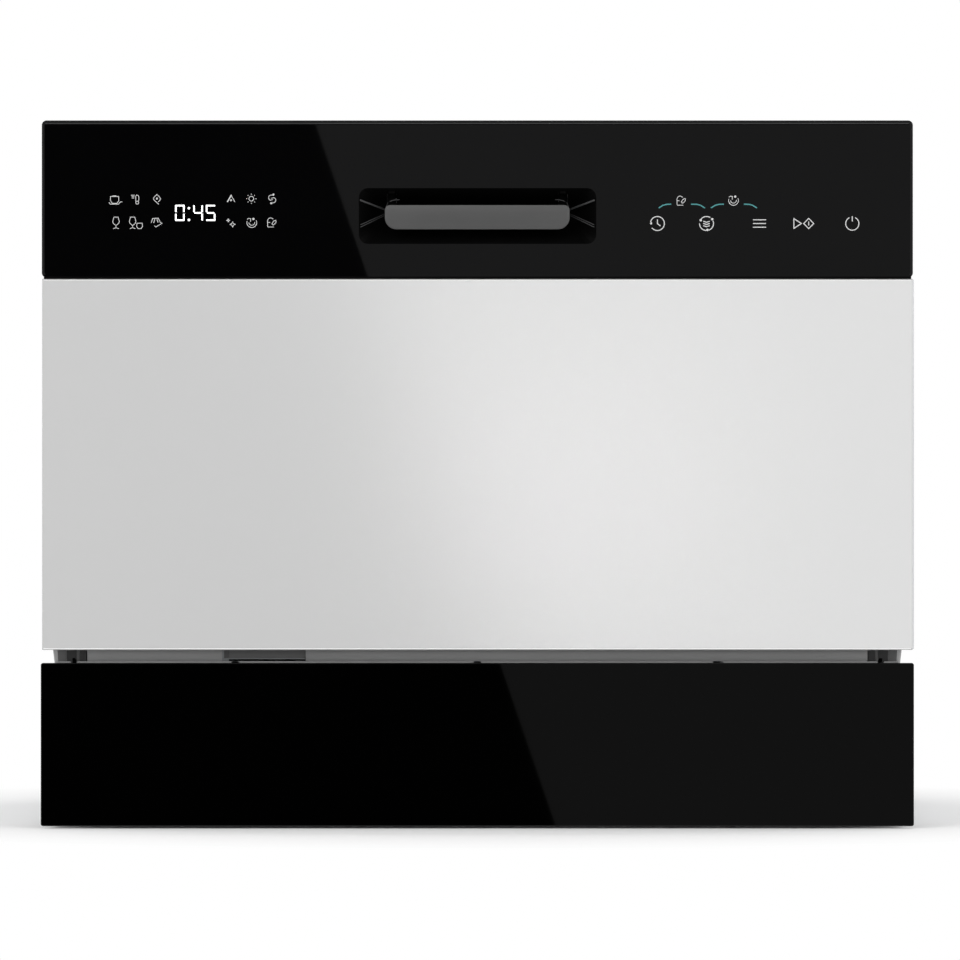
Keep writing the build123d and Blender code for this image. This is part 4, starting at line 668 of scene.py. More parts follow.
@piece("basketGrey", "cutlery_basket", "grey_plastic", "cutlery_basket")
def cutleryLattice(bm):
    low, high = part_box("cutlery_basket")
    bar = basket["bar"]
    floor, top = low.z, low.z + basket["wallHeight"]
    x0, x1, y0, y1 = low.x, high.x, low.y, high.y
    addBlock(bm, (x0, y0, floor), (x1, y1, floor + 0.002), 0.0006)
    bands = [(floor + 0.0015, floor + 0.016, 0, 0.0006), (top - 0.010, top, 0, 0.0006)]
    bands += [(z - 0.0011, z + 0.0011, 0.0003, 0.0004)
              for z in spread(floor + 0.016, top - 0.010, basket["bands"])[1:-1]]
    for z0, z1, inset, soft in bands:
        for x in (x0, x1 - bar):
            addBlock(bm, (x + inset, y0, z0), (x + bar - inset, y1, z1), soft)
        for y in (y0, y1 - bar):
            addBlock(bm, (x0, y + inset, z0), (x1, y + bar - inset, z1), soft)
    for y in spread(y0 + bar / 2, y1 - bar / 2, basket["sideBars"]):
        for x in (x0, x1 - bar):
            addBlock(bm, (x, y - 0.0014, floor), (x + bar, y + 0.0014, top - 0.001), 0.0005)
    for x in spread(x0 + bar / 2, x1 - bar / 2, basket["endBars"]):
        for y in (y0, y1 - bar):
            addBlock(bm, (x - 0.0014, y, floor), (x + 0.0014, y + bar, top - 0.001), 0.0005)
    inner, outer = x0 + 0.001, x1 - 0.001
    for y in (y0 + (y1 - y0) / 3, y0 + (y1 - y0) * 2 / 3):
        addBlock(bm, (inner, y - 0.001, floor), (outer, y + 0.001, top - 0.030), 0.0004)
        addBlock(bm, (inner, y - 0.0016, top - 0.032), (outer, y + 0.0016, top - 0.008), 0.0008)
    middle, near, far = (x0 + x1) / 2, y0 + basket["handleIn"], y1 - basket["handleIn"]
    for y in (near, far):
        addBlock(bm, (inner, y - 0.003, top - 0.008), (outer, y + 0.003, top - 0.002), 0.0012)
    crown = top + basket["handleRise"]
    addTube(bm, rounded([(middle, near, top - 0.004), (middle, near + 0.011, crown), (middle, far - 0.011, crown),
                         (middle, far, top - 0.004)], 0.010, 6), 0.0030, 12)


# Spray arm: two tapering hollow blades with raised slotted jets, held by a lobed nut

spray = {"x": 0.0, "y": 0.005, "bottom": 0.160, "thick": 0.008, "reach": 0.190, "rootWide": 0.034, "tipWide": 0.0238,
         "hub": 0.020, "bore": 0.0091, "section": 20, "steps": 24,
         "jets": ((0.052, 0.005), (0.084, -0.005), (0.116, 0.005), (0.146, -0.004), (0.172, 0.003)),
         "jet": [(0, -0.002), (0.0046, -0.002), (0.0044, 0.0002), (0.0034, 0.0013), (0.0024, 0.0015),
                 (0.0020, 0.0006), (0, 0.0004)]}
nut = {"radius": 0.0138, "bore": 0.0063, "lobes": 12}


@piece("greyPlastic", "spray_arm", "grey_plastic", "spray_arm")
def sprayBlades(bm):
    tall = spray["thick"] / 2
    top = spray["bottom"] + spray["thick"]
    for way in (-1, 1):
        rims = []
        for reach in spread(0.010, spray["reach"], spray["steps"] + 1):
            share = (reach - 0.010) / (spray["reach"] - 0.010)
            wide = (spray["rootWide"] + (spray["tipWide"] - spray["rootWide"]) * share) / 2
            rest = min(1, (spray["reach"] - reach) / (spray["tipWide"] / 2))  # below 1 in the rounded tip
            wide *= math.sqrt(max(0.02, 1 - (1 - rest) ** 2))
            high = tall * max(0.35, math.sqrt(max(0.02, 1 - (1 - rest) ** 3)))
            rim = []
            for n in range(spray["section"]):
                c, s = math.cos(turn * n / spray["section"]), math.sin(turn * n / spray["section"])
                rim.append((spray["x"] + way * reach, spray["y"] + wide * math.copysign(abs(c) ** 0.55, c),
                            spray["bottom"] + tall + high * math.copysign(abs(s) ** 0.8, s)))
            rims.append(rim)
        joinRims(bm, rims)
        for spot, shift in spray["jets"]:
            addLathe(bm, spray["jet"], (way * spot, spray["y"] + way * shift, top), up, 20)
    low, top = spray["bottom"] - 0.003, top + 0.0045
    hub, bore = spray["hub"], spray["bore"]
    addLathe(bm, [(bore, low), (hub - 0.001, low), (hub, low + 0.001), (hub, top - 0.0035),
                  (hub - 0.002, top - 0.0012), (hub - 0.005, top), (bore, top)], (spray["x"], spray["y"], 0), up, 48)


@piece("capGrey", "cabinet", "grey_plastic", "spray_arm_nut")
def sprayNut(bm):
    low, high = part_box("spray_arm_nut")
    r, spot = nut["radius"], (spray["x"], spray["y"], 0)
    addLathe(bm, [(nut["bore"], low.z), (r - 0.0006, low.z), (r, low.z + 0.0006), (r, high.z - 0.0012),
                  (r - 0.0014, high.z), (nut["bore"], high.z)], spot, up, 36)
    addRidges(bm, spot, up, r - 0.0002, nut["lobes"], low.z + 0.0008, high.z - 0.0014, 0.0007, 8, 1 / 8)


# Filter: a fine cup with ribs, a wide rim and a grip across it

cup = {"x": -0.070, "y": -0.070, "radius": 0.033, "wall": 0.002, "ribs": 16, "bands": 5, "rimOver": 0.004,
       "gripHeight": 0.012}


@piece("filterGrey", "filter_cup", "grey_plastic", "filter_cup")
def filterBasket(bm):
    low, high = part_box("filter_cup")
    x, y, r = cup["x"], cup["y"], cup["radius"]
    inside, rim = r - cup["wall"], r + cup["rimOver"]
    foot, top = low.z, high.z - cup["gripHeight"]
    shells = [[(0, foot), (r - 0.0005, foot), (r, foot + 0.0005), (r, foot + 0.006), (inside, foot + 0.006),
               (inside, foot + cup["wall"]), (0, foot + cup["wall"])],
              hoop(inside + 0.0002, r - 0.0008, foot + 0.005, top - 0.009)]
    for z in spread(foot + 0.006, top - 0.010, cup["bands"])[1:-1]:
        shells.append(hoop(r - 0.0018, r - 0.0002, z - 0.0008, z + 0.0008))
    for shell in shells:
        addLathe(bm, shell, (x, y, 0), up, 48)
    addLathe(bm, [(inside, top - 0.010), (r, top - 0.010), (r, top), (rim - 0.0006, top), (rim, top + 0.0006),
                  (rim - 0.001, top + 0.0036), (rim - 0.002, top + 0.004), (inside, top + 0.004)], (x, y, 0), up, 56)
    addRidges(bm, (x, y, 0), up, r - 0.0009, cup["ribs"], foot + 0.004, top - 0.008, 0.0009, 8)
    grip = high.z - 0.0022
    addTube(bm, rounded([(x - r + 0.001, y, top + 0.002), (x - r + 0.006, y, grip), (x + r - 0.006, y, grip),
                         (x + r - 0.001, y, top + 0.002)], 0.004), 0.0022, 12)
    addBlock(bm, (x - r + 0.006, y - 0.001, top + 0.001), (x + r - 0.006, y + 0.001, high.z - 0.002), 0.0004)


print("spray arm and filter made")


# Door seal: a rubber bulb on a ribbed foot

seal = {"width": 0.008, "corner": 0.016, "bulb": 0.0034,
        "foot": ((-0.0022, -0.0030), (-0.0038, -0.0026), (-0.0039, -0.0004), (0.0039, -0.0004), (0.0038, -0.0026),
                 (0.0022, -0.0030))}


@piece("sealRubber", "cabinet", "rubber", "door_seal")
def sealBulb(bm):
    low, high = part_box("door_seal")
    middle = middleOf("door_seal")
    outline = roundRect(high.x - low.x - seal["width"], high.z - low.z - seal["width"], seal["corner"],
                        (middle.x, middle.z), 8)
    bulb = seal["bulb"]
    angles = [math.radians(-35 + 250 * n / 12) for n in range(13)]
    section = [(bulb * math.cos(angle), low.y + bulb - bulb * math.sin(angle)) for angle in angles]
    addSweep(bm, outline, [(-out, y) for out, y in reversed(section)]
             + [(-out, high.y + y) for out, y in reversed(seal["foot"])])


# Balance springs: close coils in the side gaps

coil = {"radius": 0.0040, "wire": 0.0009, "turns": 46, "steps": 14, "length": 0.140, "rod": 0.0014}


@piece("springSteel", "cabinet", "zinc", "balance_springs")
def springCoils(bm):
    low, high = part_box("balance_springs")
    z, r, count = (low.z + high.z) / 2, coil["radius"], coil["turns"] * coil["steps"]
    for x in (low.x + 0.005, high.x - 0.005):
        addTube(bm, [(x + r * math.cos(turn * n / coil["steps"]),
                      low.y + 0.001 + (coil["length"] - 0.002) * n / count,
                      z + r * math.sin(turn * n / coil["steps"])) for n in range(count + 1)], coil["wire"], 6)
        addTube(bm, [(x, low.y + coil["length"] - 0.003, z), (x, high.y - 0.002, z)], coil["rod"], 8)


# Screws with a rounded head and a cross recess

screw = {"radius": 0.0036, "dome": 0.0016, "slot": 0.00035, "near": 0.009}


def addScrew(bm, spot, along):
    r, dome = screw["radius"], screw["dome"]
    addLathe(bm, [(0, 0), (r, 0), (r, dome * 0.25), (r * 0.92, dome * 0.6), (r * 0.66, dome * 0.92), (r * 0.46, dome),
                  (r * 0.40, dome * 0.35), (0, dome * 0.30)], spot, along, 24)
    side = along.orthogonal().normalized()
    for arm in (side, along.cross(side)):
        addTube(bm, [spot + along * (dome * 0.36) + arm * reach for reach in (-r * 0.30, r * 0.30)], screw["slot"], 6)


def screwSet(bm, node, way, lift):
    # one screw wherever the CAD node has one: points near each other belong to one
    groups = []
    for vert in nodes[node].data.vertices:
        near = [group for group in groups if (group[0] - vert.co).length < screw["near"]]
        if near:
            near[0].append(vert.co.copy())
        else:
            groups.append([vert.co.copy()])
    for group in groups:
        spot = sum(group, Vector()) / len(group)
        outward = Vector(way(spot))
        addScrew(bm, spot - outward * lift, outward)


@piece("springSteel", "door", "zinc", "door_screws")
def linerScrews(bm):
    screwSet(bm, "door_screws", lambda spot: inward, 0.0006)


@piece("springSteel", "cabinet", "zinc", "cabinet_screws")
def caseScrews(bm):
    screwSet(bm, "cabinet_screws", lambda spot: inward if spot.y > 0.2 else (-math.copysign(1, spot.x), 0, 0), 0.0007)


print("seal, springs and screws made")


# Handle: a satin bar on arms painted black as shade, inside a ridged pocket

lever = {"left": 384.7, "right": 569.7, "top": 204.9, "bottom": 229.3, "lowCorner": 0.0074, "highCorner": 0.0034,
         "edge": 0.0007, "thick": 0.0045, "armX": 0.054, "pivotY": -0.237, "pivotZ": 0.4025, "armWider": 1.34,
         "boss": [(0, -0.0025), (0.0040, -0.0025), (0.0045, -0.0020), (0.0045, 0.0020), (0.0040, 0.0025),
                  (0, 0.0025)],
         "lip": ((385.6, 209.0), (386.2, 206.0), (388.0, 202.6), (391.4, 200.4), (395.5, 199.5), (399.0, 199.4))}
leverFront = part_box("handle_lever")[0].y


@piece("leverGrey", "handle_lever", "lever_grey", "handle_lever")
def pullBar(bm):
    x0, x1 = photoX(lever["left"]), photoX(lever["right"])
    z0, z1 = photoZ(lever["bottom"]), photoZ(lever["top"])
    outline = []
    for cx, cz, r, start in ((x1, z1, lever["highCorner"], 0), (x0, z1, lever["highCorner"], 90),
                             (x0, z0, lever["lowCorner"], 180), (x1, z0, lever["lowCorner"], 270)):
        sx, sz = (-1 if cx > 0 else 1), (-1 if cz == z1 else 1)
        for n in range(9):
            angle = math.radians(start + 90 * n / 8)
            outline.append((Vector((cx + sx * r, cz + sz * r)), Vector((math.cos(angle), math.sin(angle))), r))
    edge, thick = lever["edge"], lever["thick"]
    joinRims(bm, [[(spot.x + way.x * (r - inset), leverFront + deep, spot.y + way.y * (r - inset))
                   for spot, way, r in outline]
                  for inset, deep in ((edge, 0), (edge * 0.3, edge * 0.3), (0, edge), (0, thick - edge),
                                      (edge * 0.3, thick - edge * 0.3), (edge, thick))])


# the arms in a black of painted shade, so that they sink into the pocket
@piece("pocketBlack", "handle_lever", "lever_grey")
def pullArms(bm):
    for side in (-1, 1):
        x, start = side * lever["armX"], len(bm.verts)
        pivot = (x, lever["pivotY"], lever["pivotZ"])
        addTube(bm, rounded([(x, leverFront + 0.0030, photoZ(206.5)), (x, leverFront + 0.0066, photoZ(203.5)), pivot],
                            0.003, 6), 0.0022, 12)
        bm.verts.ensure_lookup_table()
        for vert in bm.verts[start:]:  # a flat strap that fills its slot
            vert.co.x = x + (vert.co.x - x) * lever["armWider"]
        addLathe(bm, lever["boss"], pivot, across, 24)
        addTube(bm, [pivot, (x + side * 0.0074, *pivot[1:])], 0.0019, 12)


@piece("ridgeGrey", "handle_lever", "lever_grey")
def armLipSheen(bm):
    # the rounded edge of the arm that shows above each end of the bar, as a line of painted sheen
    for side in (1, -1):
        addTube(bm, [(side * photoX(column), leverFront + 0.0052, photoZ(row)) for column, row in lever["lip"]],
                0.00026, 8)


pocket = {"ridges": (((360.6, 200.2), (384.4, 208.7), 0.000624), ((360.6, 227.0), (383.9, 215.0), 0.00026),
                     ((360.8, 224.6), (383.9, 213.4), 0.00026)),
          "deep": 0.0135, "left": 358.8, "right": 596.3, "top": 188.1, "bottom": 243.9, "corner": 0.0058,
          "over": 0.0027}


# beads along the pocket's creases, lighter than the pocket as painted sheen
@piece("ridgeGrey", "door", "black_plastic")
def pocketRidges(bm):
    for (c0, r0), (c1, r1), thick in pocket["ridges"]:
        for side in (1, -1):
            addTube(bm, [(side * photoX(c0), frontY + 0.0003 + thick, photoZ(r0)),
                         (side * photoX(c1), frontY + pocket["deep"], photoZ(r1))], thick, 8)


@piece("blackGlass", "door", "black_glass")
def pocketMouth(bm):
    # the glass runs right up to the pocket's edge
    x0, x1 = photoX(pocket["left"]), photoX(pocket["right"])
    z0, z1 = photoZ(pocket["bottom"]), photoZ(pocket["top"])
    outline = roundRect(x1 - x0, z1 - z0, pocket["corner"], ((x0 + x1) / 2, (z0 + z1) / 2), 8)
    addSweep(bm, outline, hoop(0, pocket["over"], printFront, frontY + 0.0003))


print("handle made")


# The strip between door and kick: sill with its recess, and the parts at both ends, in greys lightened and darkened
# as painted light and shade

sill = {"face": -0.2030, "low": 0.1000, "high": 0.1124, "end": 87.3, "recess": (222.0, 305.8), "lip": (229.0, 305.6)}
face = sill["face"]
recessLeft, recessRight = (behindX(column, face) for column in sill["recess"])


# a lighter sheet over the sill's face, as painted light
@piece("sillPaintedLight", "cabinet", "base_plastic")
def paintedLightSill(bm):
    end = -behindX(sill["end"], face)
    for left, right in ((-end, recessLeft), (recessRight, end)):
        addBlock(bm, (left, face - 0.0008, sill["low"]), (right, face - 0.00002, sill["high"] + 0.0006), 0.0003)
    addBlock(bm, (recessLeft - 0.0005, face - 0.0007, sill["low"]), (recessRight + 0.0005, face - 0.00002,
                                                                    behindZ(661.0, face)), 0.0002)


# the recess' walls in a darker grey, as painted shade
@piece("recessPaintedShade", "cabinet", "base_plastic")
def sillRecess(bm):
    x0, x1, back = recessLeft, recessRight, face + 0.0055
    addPlan(bm, [(x0, face), (x0 + 0.0045, back), (x1 - 0.0006, back), (x1 - 0.0006, face), (x1 + 0.0004, face),
                 (x1 + 0.0004, back + 0.001), (x0 + 0.0030, back + 0.001), (x0 - 0.0006, face + 0.0010)],
            behindZ(660.4, face), sill["high"] + 0.008)


@piece("pocketBlack", "cabinet", "base_plastic")
def recessFootShade(bm):
    # the dark edge along the recess' foot, a black strip of painted shade
    left, right = (behindX(column, face) for column in sill["lip"])
    addBlock(bm, (left, face - 0.0012, behindZ(660.9, face)), (right, face + 0.0040, behindZ(659.2, face)), 0.0003)


# the side panels' front flanges, in a grey lightened as painted light
@piece("wedgePaintedLight", "cabinet", "base_plastic")
def cornerWedges(bm):
    for side in (1, -1):
        joinRims(bm, [[(side * behindX(column, face - out), face - out, z) for column, out in (
            (c0, 0), (c0 + 0.4, 0.0016), (c0 + 1.8, 0.0026), (c1, 0.0028), (c1, 0))]
            for z, c0, c1 in ((sill["low"], 55.2, 58.6), (sill["high"], 52.9, 57.6))])


# upright end parts: finish, a grey darkened as painted shade, and outlines of photo columns with the distance before
# the sill's face
corners = {
    "cornerShades": ("stepDeepPaintedShade", [(66.7, 0), (66.7, 0.0018), (71, 0.0012), (74.5, 0.0005), (76.6, 0.0002), (76.6, 0)],
                     [(79.7, 0), (79.7, 0.0012), (86.2, 0.0012), (87.2, 0)]),
    "cornerCurves": ("cornerPaintedShade", [(57.4, 0), (57.4, 0.0027), (59.5, 0.0026), (63, 0.0023), (66.6, 0.0018),
                                    (66.6, 0)]),
    "cornerSteps": ("stepPaintedShade", [(76.7, 0), (76.7, 0.0006), (79.6, 0.0010), (79.6, 0)])}


def cornerPart(bm, outlines):
    for outline in outlines:
        for side in (1, -1):
            addPlan(bm, [(side * behindX(column, face - out), face - out) for column, out in outline],
                    sill["low"], sill["high"])


for part, (finish, *outlines) in corners.items():
    piece(finish, "cabinet", "base_plastic", name=part)(lambda bm: cornerPart(bm, outlines))


# black discs of painted shade where the holes are
@piece("pocketBlack", "cabinet", "base_plastic")
def cornerHoleShades(bm):
    y = face - 0.0009
    for side in (1, -1):
        addLathe(bm, [(0, 0), (0.0019, 0), (0.0021, 0.0003), (0.0021, 0.0012), (0, 0.0012)],
                 (side * behindX(73.4, y), y, behindZ(661.2, y)), inward, 20)


# Clips and rim along the kick's top, painted highlights on the folds of the door skin, painted highlights and shade
# along the edges of panel, frame and glass

kick = {"clips": (234.8, 477.4, 716.6), "clipHalf": 0.0021, "rimBreaks": (57.0, 69.6, 77.6), "rimRadius": 0.00062}
kickLow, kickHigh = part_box("kick_glass")


# clips in a black deepened to painted shade
@piece("pocketBlack", "cabinet", "black_plastic")
def kickClips(bm):
    half, front, back = kick["clipHalf"], kickLow.y + 0.0009, kickHigh.y + 0.0003
    for x in (photoX(column) for column in kick["clips"]):
        addPlan(bm, [(x - half, back), (x - half, front), (x + half, front), (x + half, back)],
                kickHigh.z - 0.0004, kickHigh.z + 0.0009)
        addTube(bm, [(x + reach, kickLow.y + 0.0014, kickHigh.z + 0.0004) for reach in (-0.0014, 0.0014)], 0.0007)


@piece("kickEdgeHighlight", "cabinet", "black_plastic")
def kickRimHighlight(bm):
    # the carrier's rounded upper edge behind the glass, lighter than its black as a painted highlight
    outer, inner, middle = (photoX(column) for column in kick["rimBreaks"])
    for ends in ((-inner, -outer), (middle, -middle), (outer, inner)):
        addTube(bm, [(x, kickLow.y + 0.0046, kickHigh.z + 0.0003) for x in ends], kick["rimRadius"])


# painted highlights along the folds of the door skin
@piece("foldPaintedHighlight", "door", "silver_panel")
def foldHighlights(bm):
    low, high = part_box("door_panel")
    for z in (low.z + 0.00084, high.z - 0.00095):
        addTube(bm, [(x, low.y + 0.00034, z) for x in (low.x + 0.0010, high.x - 0.0010)], 0.00032, 8)


# a strip of the darker side paint along the panel's right edge, as painted shade on its bevel
@piece("sidePaint", "door", "silver_panel")
def edgeShadeStrip(bm):
    low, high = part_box("door_panel")
    addBlock(bm, (high.x - 0.0004, low.y + 0.0006, low.z + 0.0006),
             (high.x + 0.0009, low.y + 0.0040, high.z - 0.0006), 0.0003)


# a painted highlight along the frame's top edge
@piece("frameEdgeHighlight", "door", "dark_frame")
def frameTopHighlight(bm):
    low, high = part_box("fascia_frame")
    addTube(bm, [(x, low.y + 0.00036, high.z - 0.00046) for x in (low.x + 0.0030, high.x - 0.0030)], 0.00034, 8)


# lines along the glass: row, first and last column, finish, width and slot; the top line is a painted highlight, the
# shade lines painted shade
glassLines = {
    "glassTopHighlight": (123.5, 45.5, 908.5, "ridgeGrey", 0.00044, "dark_frame"),
    "glassFootLine": (275.6, 44.5, 910.5, "blackGlass", 0.00125, "black_glass"),
    "glassFootShade": (277.72, 44.5, 910.5, "pocketBlack", 0.00145, "dark_frame"),
    "glassTopShade": (124.45, 45.5, 908.5, "pocketBlack", 0.00055, "dark_frame")}
for line, (row, left, right, *look) in glassLines.items():
    strokes(line, [[(left, row), (right, row)]], *look)
print("gap strip and edges made")


# Caps of rinse aid and salt, ribs of the lid, fine holes of the filter plate drawn as dark discs of painted shade

caps = {"rinse": [(0, -0.012), (0.0146, -0.012), (0.0149, -0.0116), (0.0149, 0), (0.0184, 0), (0.019, 0.0006),
                  (0.019, 0.0022), (0.0182, 0.003), (0.0150, 0.003), (0.0144, 0.0024), (0, 0.0024)],
        "salt": [(0, -0.016), (0.0214, -0.016), (0.0218, -0.0156), (0.0218, 0), (0.0283, 0), (0.029, 0.0006),
                 (0.029, 0.0020), (0.0283, 0.0027), (0.0240, 0.0027), (0.0233, 0.0021), (0, 0.0021)],
        "mark": [(0, 0.0022), (0.0020, 0.0022), (0.0020, 0.0032), (0, 0.0034)]}


@piece("capGrey", "rinse_cap", "blue_cap", "rinse_cap")
def rinseCap(bm):
    x, z = middleOf("rinse_cap").xz
    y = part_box("rinse_cap")[1].y - 0.006
    addLathe(bm, caps["rinse"], (x, y, z), inward, 56)
    addRidges(bm, (x, y, z), inward, 0.0185, 36, 0.0008, 0.0021)
    addBlock(bm, (x - 0.015, y + 0.002, z - 0.0025), (x + 0.015, y + 0.006, z + 0.0025), 0.0010)
    addLathe(bm, caps["mark"], (x, y, z + 0.0098), inward, 16)


@piece("capGrey", "salt_cap", "blue_cap", "salt_cap")
def saltCap(bm):
    x, y = middleOf("salt_cap").xy
    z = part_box("salt_cap")[1].z - 0.0041
    addLathe(bm, caps["salt"], (x, y, z), up, 64)
    addRidges(bm, (x, y, z), up, 0.0284, 44, 0.0008, 0.0020)
    addBlock(bm, (x - 0.020, y - 0.004, z + 0.0015), (x + 0.020, y + 0.004, z + 0.0041), 0.0011)


@piece("greyPlastic", "dispenser_lid", "grey_plastic")
def lidRibs(bm):
    low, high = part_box("dispenser_lid")
    y, x0, x1, z0, z1 = low.y + 0.0025, low.x + 0.004, high.x - 0.004, low.z + 0.004, high.z - 0.004
    for z in spread(low.z + 0.012, high.z - 0.012, 6):
        addTube(bm, [(low.x + 0.036, y, z), (high.x - 0.008, y, z)], 0.0006, 8)
    addTube(bm, rounded([(x0, y, z0), (x1, y, z0), (x1, y, z1), (x0, y, z1)], 0.003), 0.0004, 8)


plate = {"pitch": 0.006, "hole": hoop(0, 0.0012, -0.0002, 0.00003), "cupClear": 0.0405, "armClear": 0.019}


# dark discs of painted shade for the plate's holes
@piece("pocketBlack", "cabinet", "steel")
def plateHoleShades(bm):
    low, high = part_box("filter_plate")
    x = low.x + 0.010
    while x < -0.009:
        y = low.y + 0.011
        while y < high.y - 0.010:
            if math.hypot(x - cup["x"], y - cup["y"]) > plate["cupClear"] \
                    and math.hypot(x - spray["x"], y - spray["y"]) > plate["armClear"]:
                addLathe(bm, plate["hole"], (x, y, high.z), up, 8)
            y += plate["pitch"]
        x += plate["pitch"]


print("caps and plate made")


# Feet, rear connections and the bare plate

feet = {"radius": 0.0156, "stem": 0.0040,
        "rear": [(0, 0.0), (0.0118, 0.0), (0.0132, 0.0010), (0.0138, 0.0030), (0.0128, 0.0042), (0.0138, 0.0054)]}


def frontFoot(bm, node):
    x, y = middleOf(node).xy
    top, r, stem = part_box(node)[1].z, feet["radius"], feet["stem"]
    addLathe(bm, [(0, 0.0), (r - 0.0015, 0.0), (r - 0.0004, 0.0008), (r - 0.0004, 0.0062), (r - 0.0018, 0.0076),
                  (0.0075, 0.0080), (stem, 0.0092), (stem, top - 0.0005), (stem - 0.0006, top), (0, top)],
             (x, y, 0), up, 48)
    addRidges(bm, (x, y, 0), up, r - 0.0004, 24, 0.0018, 0.0060, 0.0007)


for side in ("Left", "Right"):
    node = "foot_front_" + side.lower()
    piece("blackPlastic", "foot_" + side.lower(), "black_plastic", node, name="foot" + side)(
        lambda bm: frontFoot(bm, node))


@piece("footRubber", "cabinet", "rubber", "rear_feet")
def rearFeet(bm):
    low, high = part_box("rear_feet")
    for x in (low.x + 0.014, high.x - 0.014):
        addLathe(bm, feet["rear"] + [(0.0138, high.z), (0, high.z)], (x, (low.y + high.y) / 2, 0), up, 40)

ports = {"inlet": (0.200, 0.075), "inletRadius": 0.01322, "steps": 24, "pitch": 0.0018, "turns": 6,
         "drain": (0.060, 0.060), "barbs": 3,
         "barb": [(0.0094, 0), (0.0107, 0.0002), (0.0096, 0.0042), (0.0094, 0.0042)],
         "wall": 0.224, "plate": (0.155, 0.096), "plateWide": 0.034, "plateTall": 0.016, "plateThick": 0.0005}


@piece("whitePlastic", "cabinet", "white_plastic")
def inletThread(bm):
    x, z = ports["inlet"]
    r, steps = ports["inletRadius"], ports["steps"]
    addTube(bm, [(x + r * math.cos(turn * n / steps), ports["wall"] + 0.0025 + ports["pitch"] * n / steps,
                  z + r * math.sin(turn * n / steps)) for n in range(steps * ports["turns"])], 0.00045, 6)


@piece("greyPlastic", "cabinet", "grey_plastic")
def drainBarbs(bm):
    x, z = ports["drain"]
    for n in range(ports["barbs"]):
        addLathe(bm, ports["barb"], (x, ports["wall"] + 0.0045 + 0.0048 * n, z), inward, 40)


@piece("whitePlastic", "cabinet", "white_plastic")
def barePlate(bm):
    x, z = ports["plate"]
    wide, tall, wall = ports["plateWide"] / 2, ports["plateTall"] / 2, ports["wall"]
    addBlock(bm, (x - wide, wall - 0.0002, z - tall), (x + wide, wall + ports["plateThick"], z + tall), 0.0002)


print("feet and rear fittings made")


# Studio: a pale floor, soft lamps, and behind the camera a dark flag with a slanted light card before it

studio = {"floorTone": 0.94, "floorHalf": 14, "floorWhite": (0.33, 0.54), "worldDiffuse": 0.80,
          "cardLight": 0.694, "cardY": -6.40, "card": ((280, 20), (1500, 20), (1500, 1000), (615, 1000)),
          "flagLight": 0.012, "flagY": -6.60, "flagHalf": 2.6}


def seenDirectly(shade):
    # 1 for what the camera sees straight or through metal and glass
    seen = shade.node("LightPath", out="Is Camera Ray")
    path = seen.socket.node
    for ray in ("Is Glossy Ray", "Is Transmission Ray"):
        seen = seen + Shade(shade.tree, path.outputs[ray])
    return shade.sum("MINIMUM", seen, 1.0)


def stagePlane(name, corners, material):
    mesh = bpy.data.meshes.new(name)
    mesh.from_pydata(corners, [], [tuple(range(len(corners)))])
    mesh.materials.append(material)
    sheet = bpy.data.objects.new(name, mesh)
    bpy.context.scene.collection.objects.link(sheet)
    return sheet


def plainLight(name, level):
    material = bpy.data.materials.new(name)
    material.use_nodes = True
    tree = material.node_tree
    tree.nodes.clear()
    glow = Shade(tree, None).node("Emission", None, {"Color": tone(float(level))})
    tree.links.new(glow.socket, tree.nodes.new("ShaderNodeOutputMaterial").inputs[0])
    return material


def floorFinish():
    # diffuse near the object, so that it keeps the shadow, and pure white far off
    shader, spot = startFinish("studioFloor", {"Roughness": 0.9, "Specular IOR Level": 0.1})
    cloud = spot.noise(3, 2)
    feed(shader, spot, {"Base Color": cloud.mix(tone(0.98, studio["floorTone"]), tone(1.0, studio["floorTone"]))})
    away = spot.node("VectorMath", {"operation": "LENGTH"}, {0: spot}, 1)
    near, white = studio["floorWhite"]
    far = away.node("MapRange", {"clamp": True}, {"Value": away, 1: near, 2: white})
    both = spot.node("MixShader", None, {0: far * seenDirectly(spot), 1: Shade(spot.tree, shader.outputs[0]),
                                         2: spot.node("Emission")})
    spot.tree.links.new(both.socket, spot.tree.nodes["Material Output"].inputs[0])
    return finishes["studioFloor"]


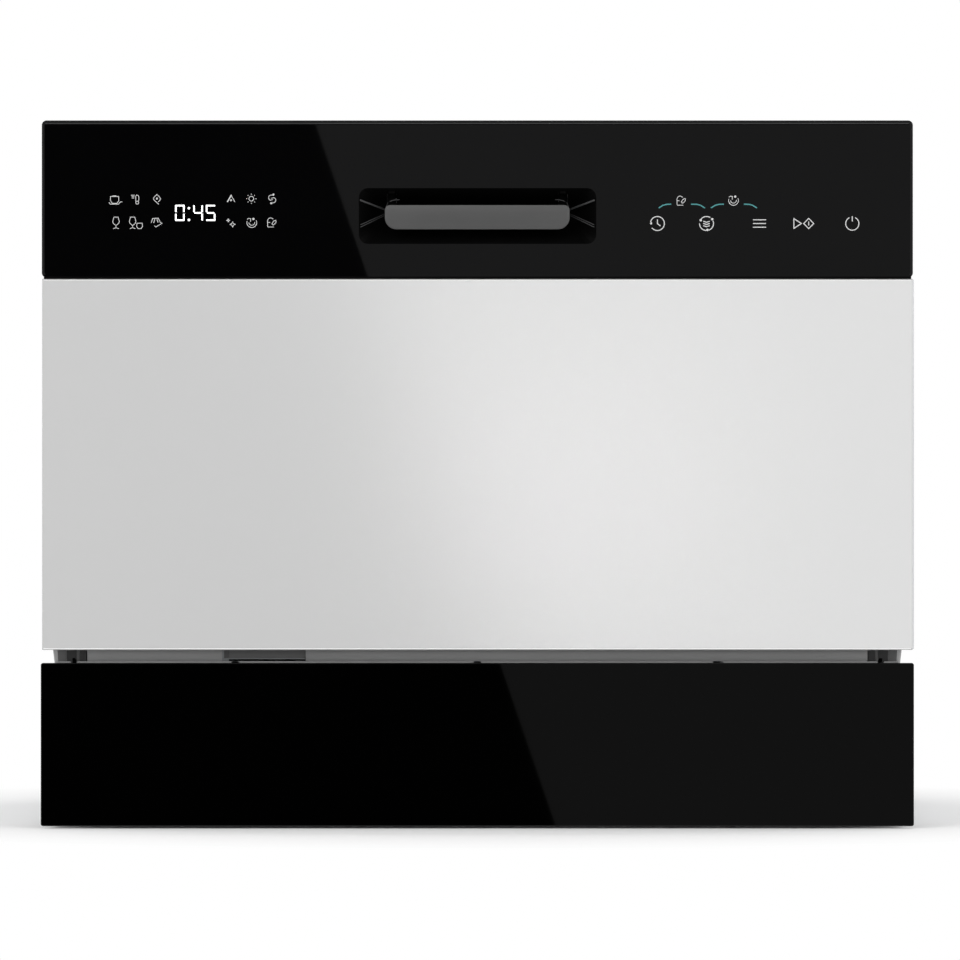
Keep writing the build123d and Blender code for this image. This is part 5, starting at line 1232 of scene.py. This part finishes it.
half = studio["floorHalf"]
floor = stagePlane("studioFloor", [(-half, -half, 0), (half, -half, 0), (half, half, 0), (-half, half, 0)],
                   floorFinish())
floor.visible_glossy = False  # the glass mirrors the flag and the card down to its foot

# the card's corners are given where the glass shows them, and the flag fills all behind the card
mirrorY = 2 * frontY - studio["cardY"]
card = stagePlane("lightCard", [(behindX(column, mirrorY), studio["cardY"], behindZ(row, mirrorY))
                                for column, row in studio["card"]], plainLight("lightCard", studio["cardLight"]))
half, middle = studio["flagHalf"], camera.location.z
flag = stagePlane("darkFlag", [(x, studio["flagY"], middle + z) for x, z in (
    (-half, -half), (half, -half), (half, half), (-half, half))], plainLight("darkFlag", studio["flagLight"]))
for sheet in (card, flag):
    sheet.visible_camera = False
    sheet.visible_diffuse = False
    sheet.visible_shadow = False

world = bpy.data.worlds.new("studioWorld")
bpy.context.scene.world = world
world.use_nodes = True
sky = world.node_tree.nodes["Background"]
level = seenDirectly(Shade(world.node_tree, None)) * (1 - studio["worldDiffuse"]) + studio["worldDiffuse"]
world.node_tree.links.new(level.socket, sky.inputs["Strength"])
sky.inputs["Color"].default_value = (1, 1, 1, 1)

lamps = {
    "keyLamp": {"place": (-1.6, -2.6, 2.4), "aim": (0, -0.1, 0.2), "size": 1.6, "power": 26},
    "fillLamp": {"place": (2.2, -2.4, 1.6), "aim": (0, -0.1, 0.2), "size": 1.8, "power": 16},
    "backLamp": {"place": (0.4, 2.6, 2.2), "aim": (0, 0.1, 0.2), "size": 1.6, "power": 12},
    "lowLamp": {"place": (0.1, -3.4, 0.21), "aim": (0, 0, 0.12), "size": 0.34, "power": 31}}  # for the gap's strip
for lampName, lamp in lamps.items():
    data = bpy.data.lights.new(lampName, "AREA")
    data.size = lamp["size"]
    data.energy = lamp["power"]
    lampObject = bpy.data.objects.new(lampName, data)
    bpy.context.scene.collection.objects.link(lampObject)
    lampObject.location = lamp["place"]
    lampObject.visible_glossy = lampName != "lowLamp"
    lampObject.rotation_euler = (Vector(lamp["aim"]) - Vector(lamp["place"])).to_track_quat("-Z", "Y").to_euler()
bpy.context.scene.view_settings.view_transform = "Standard"
print("studio lit")
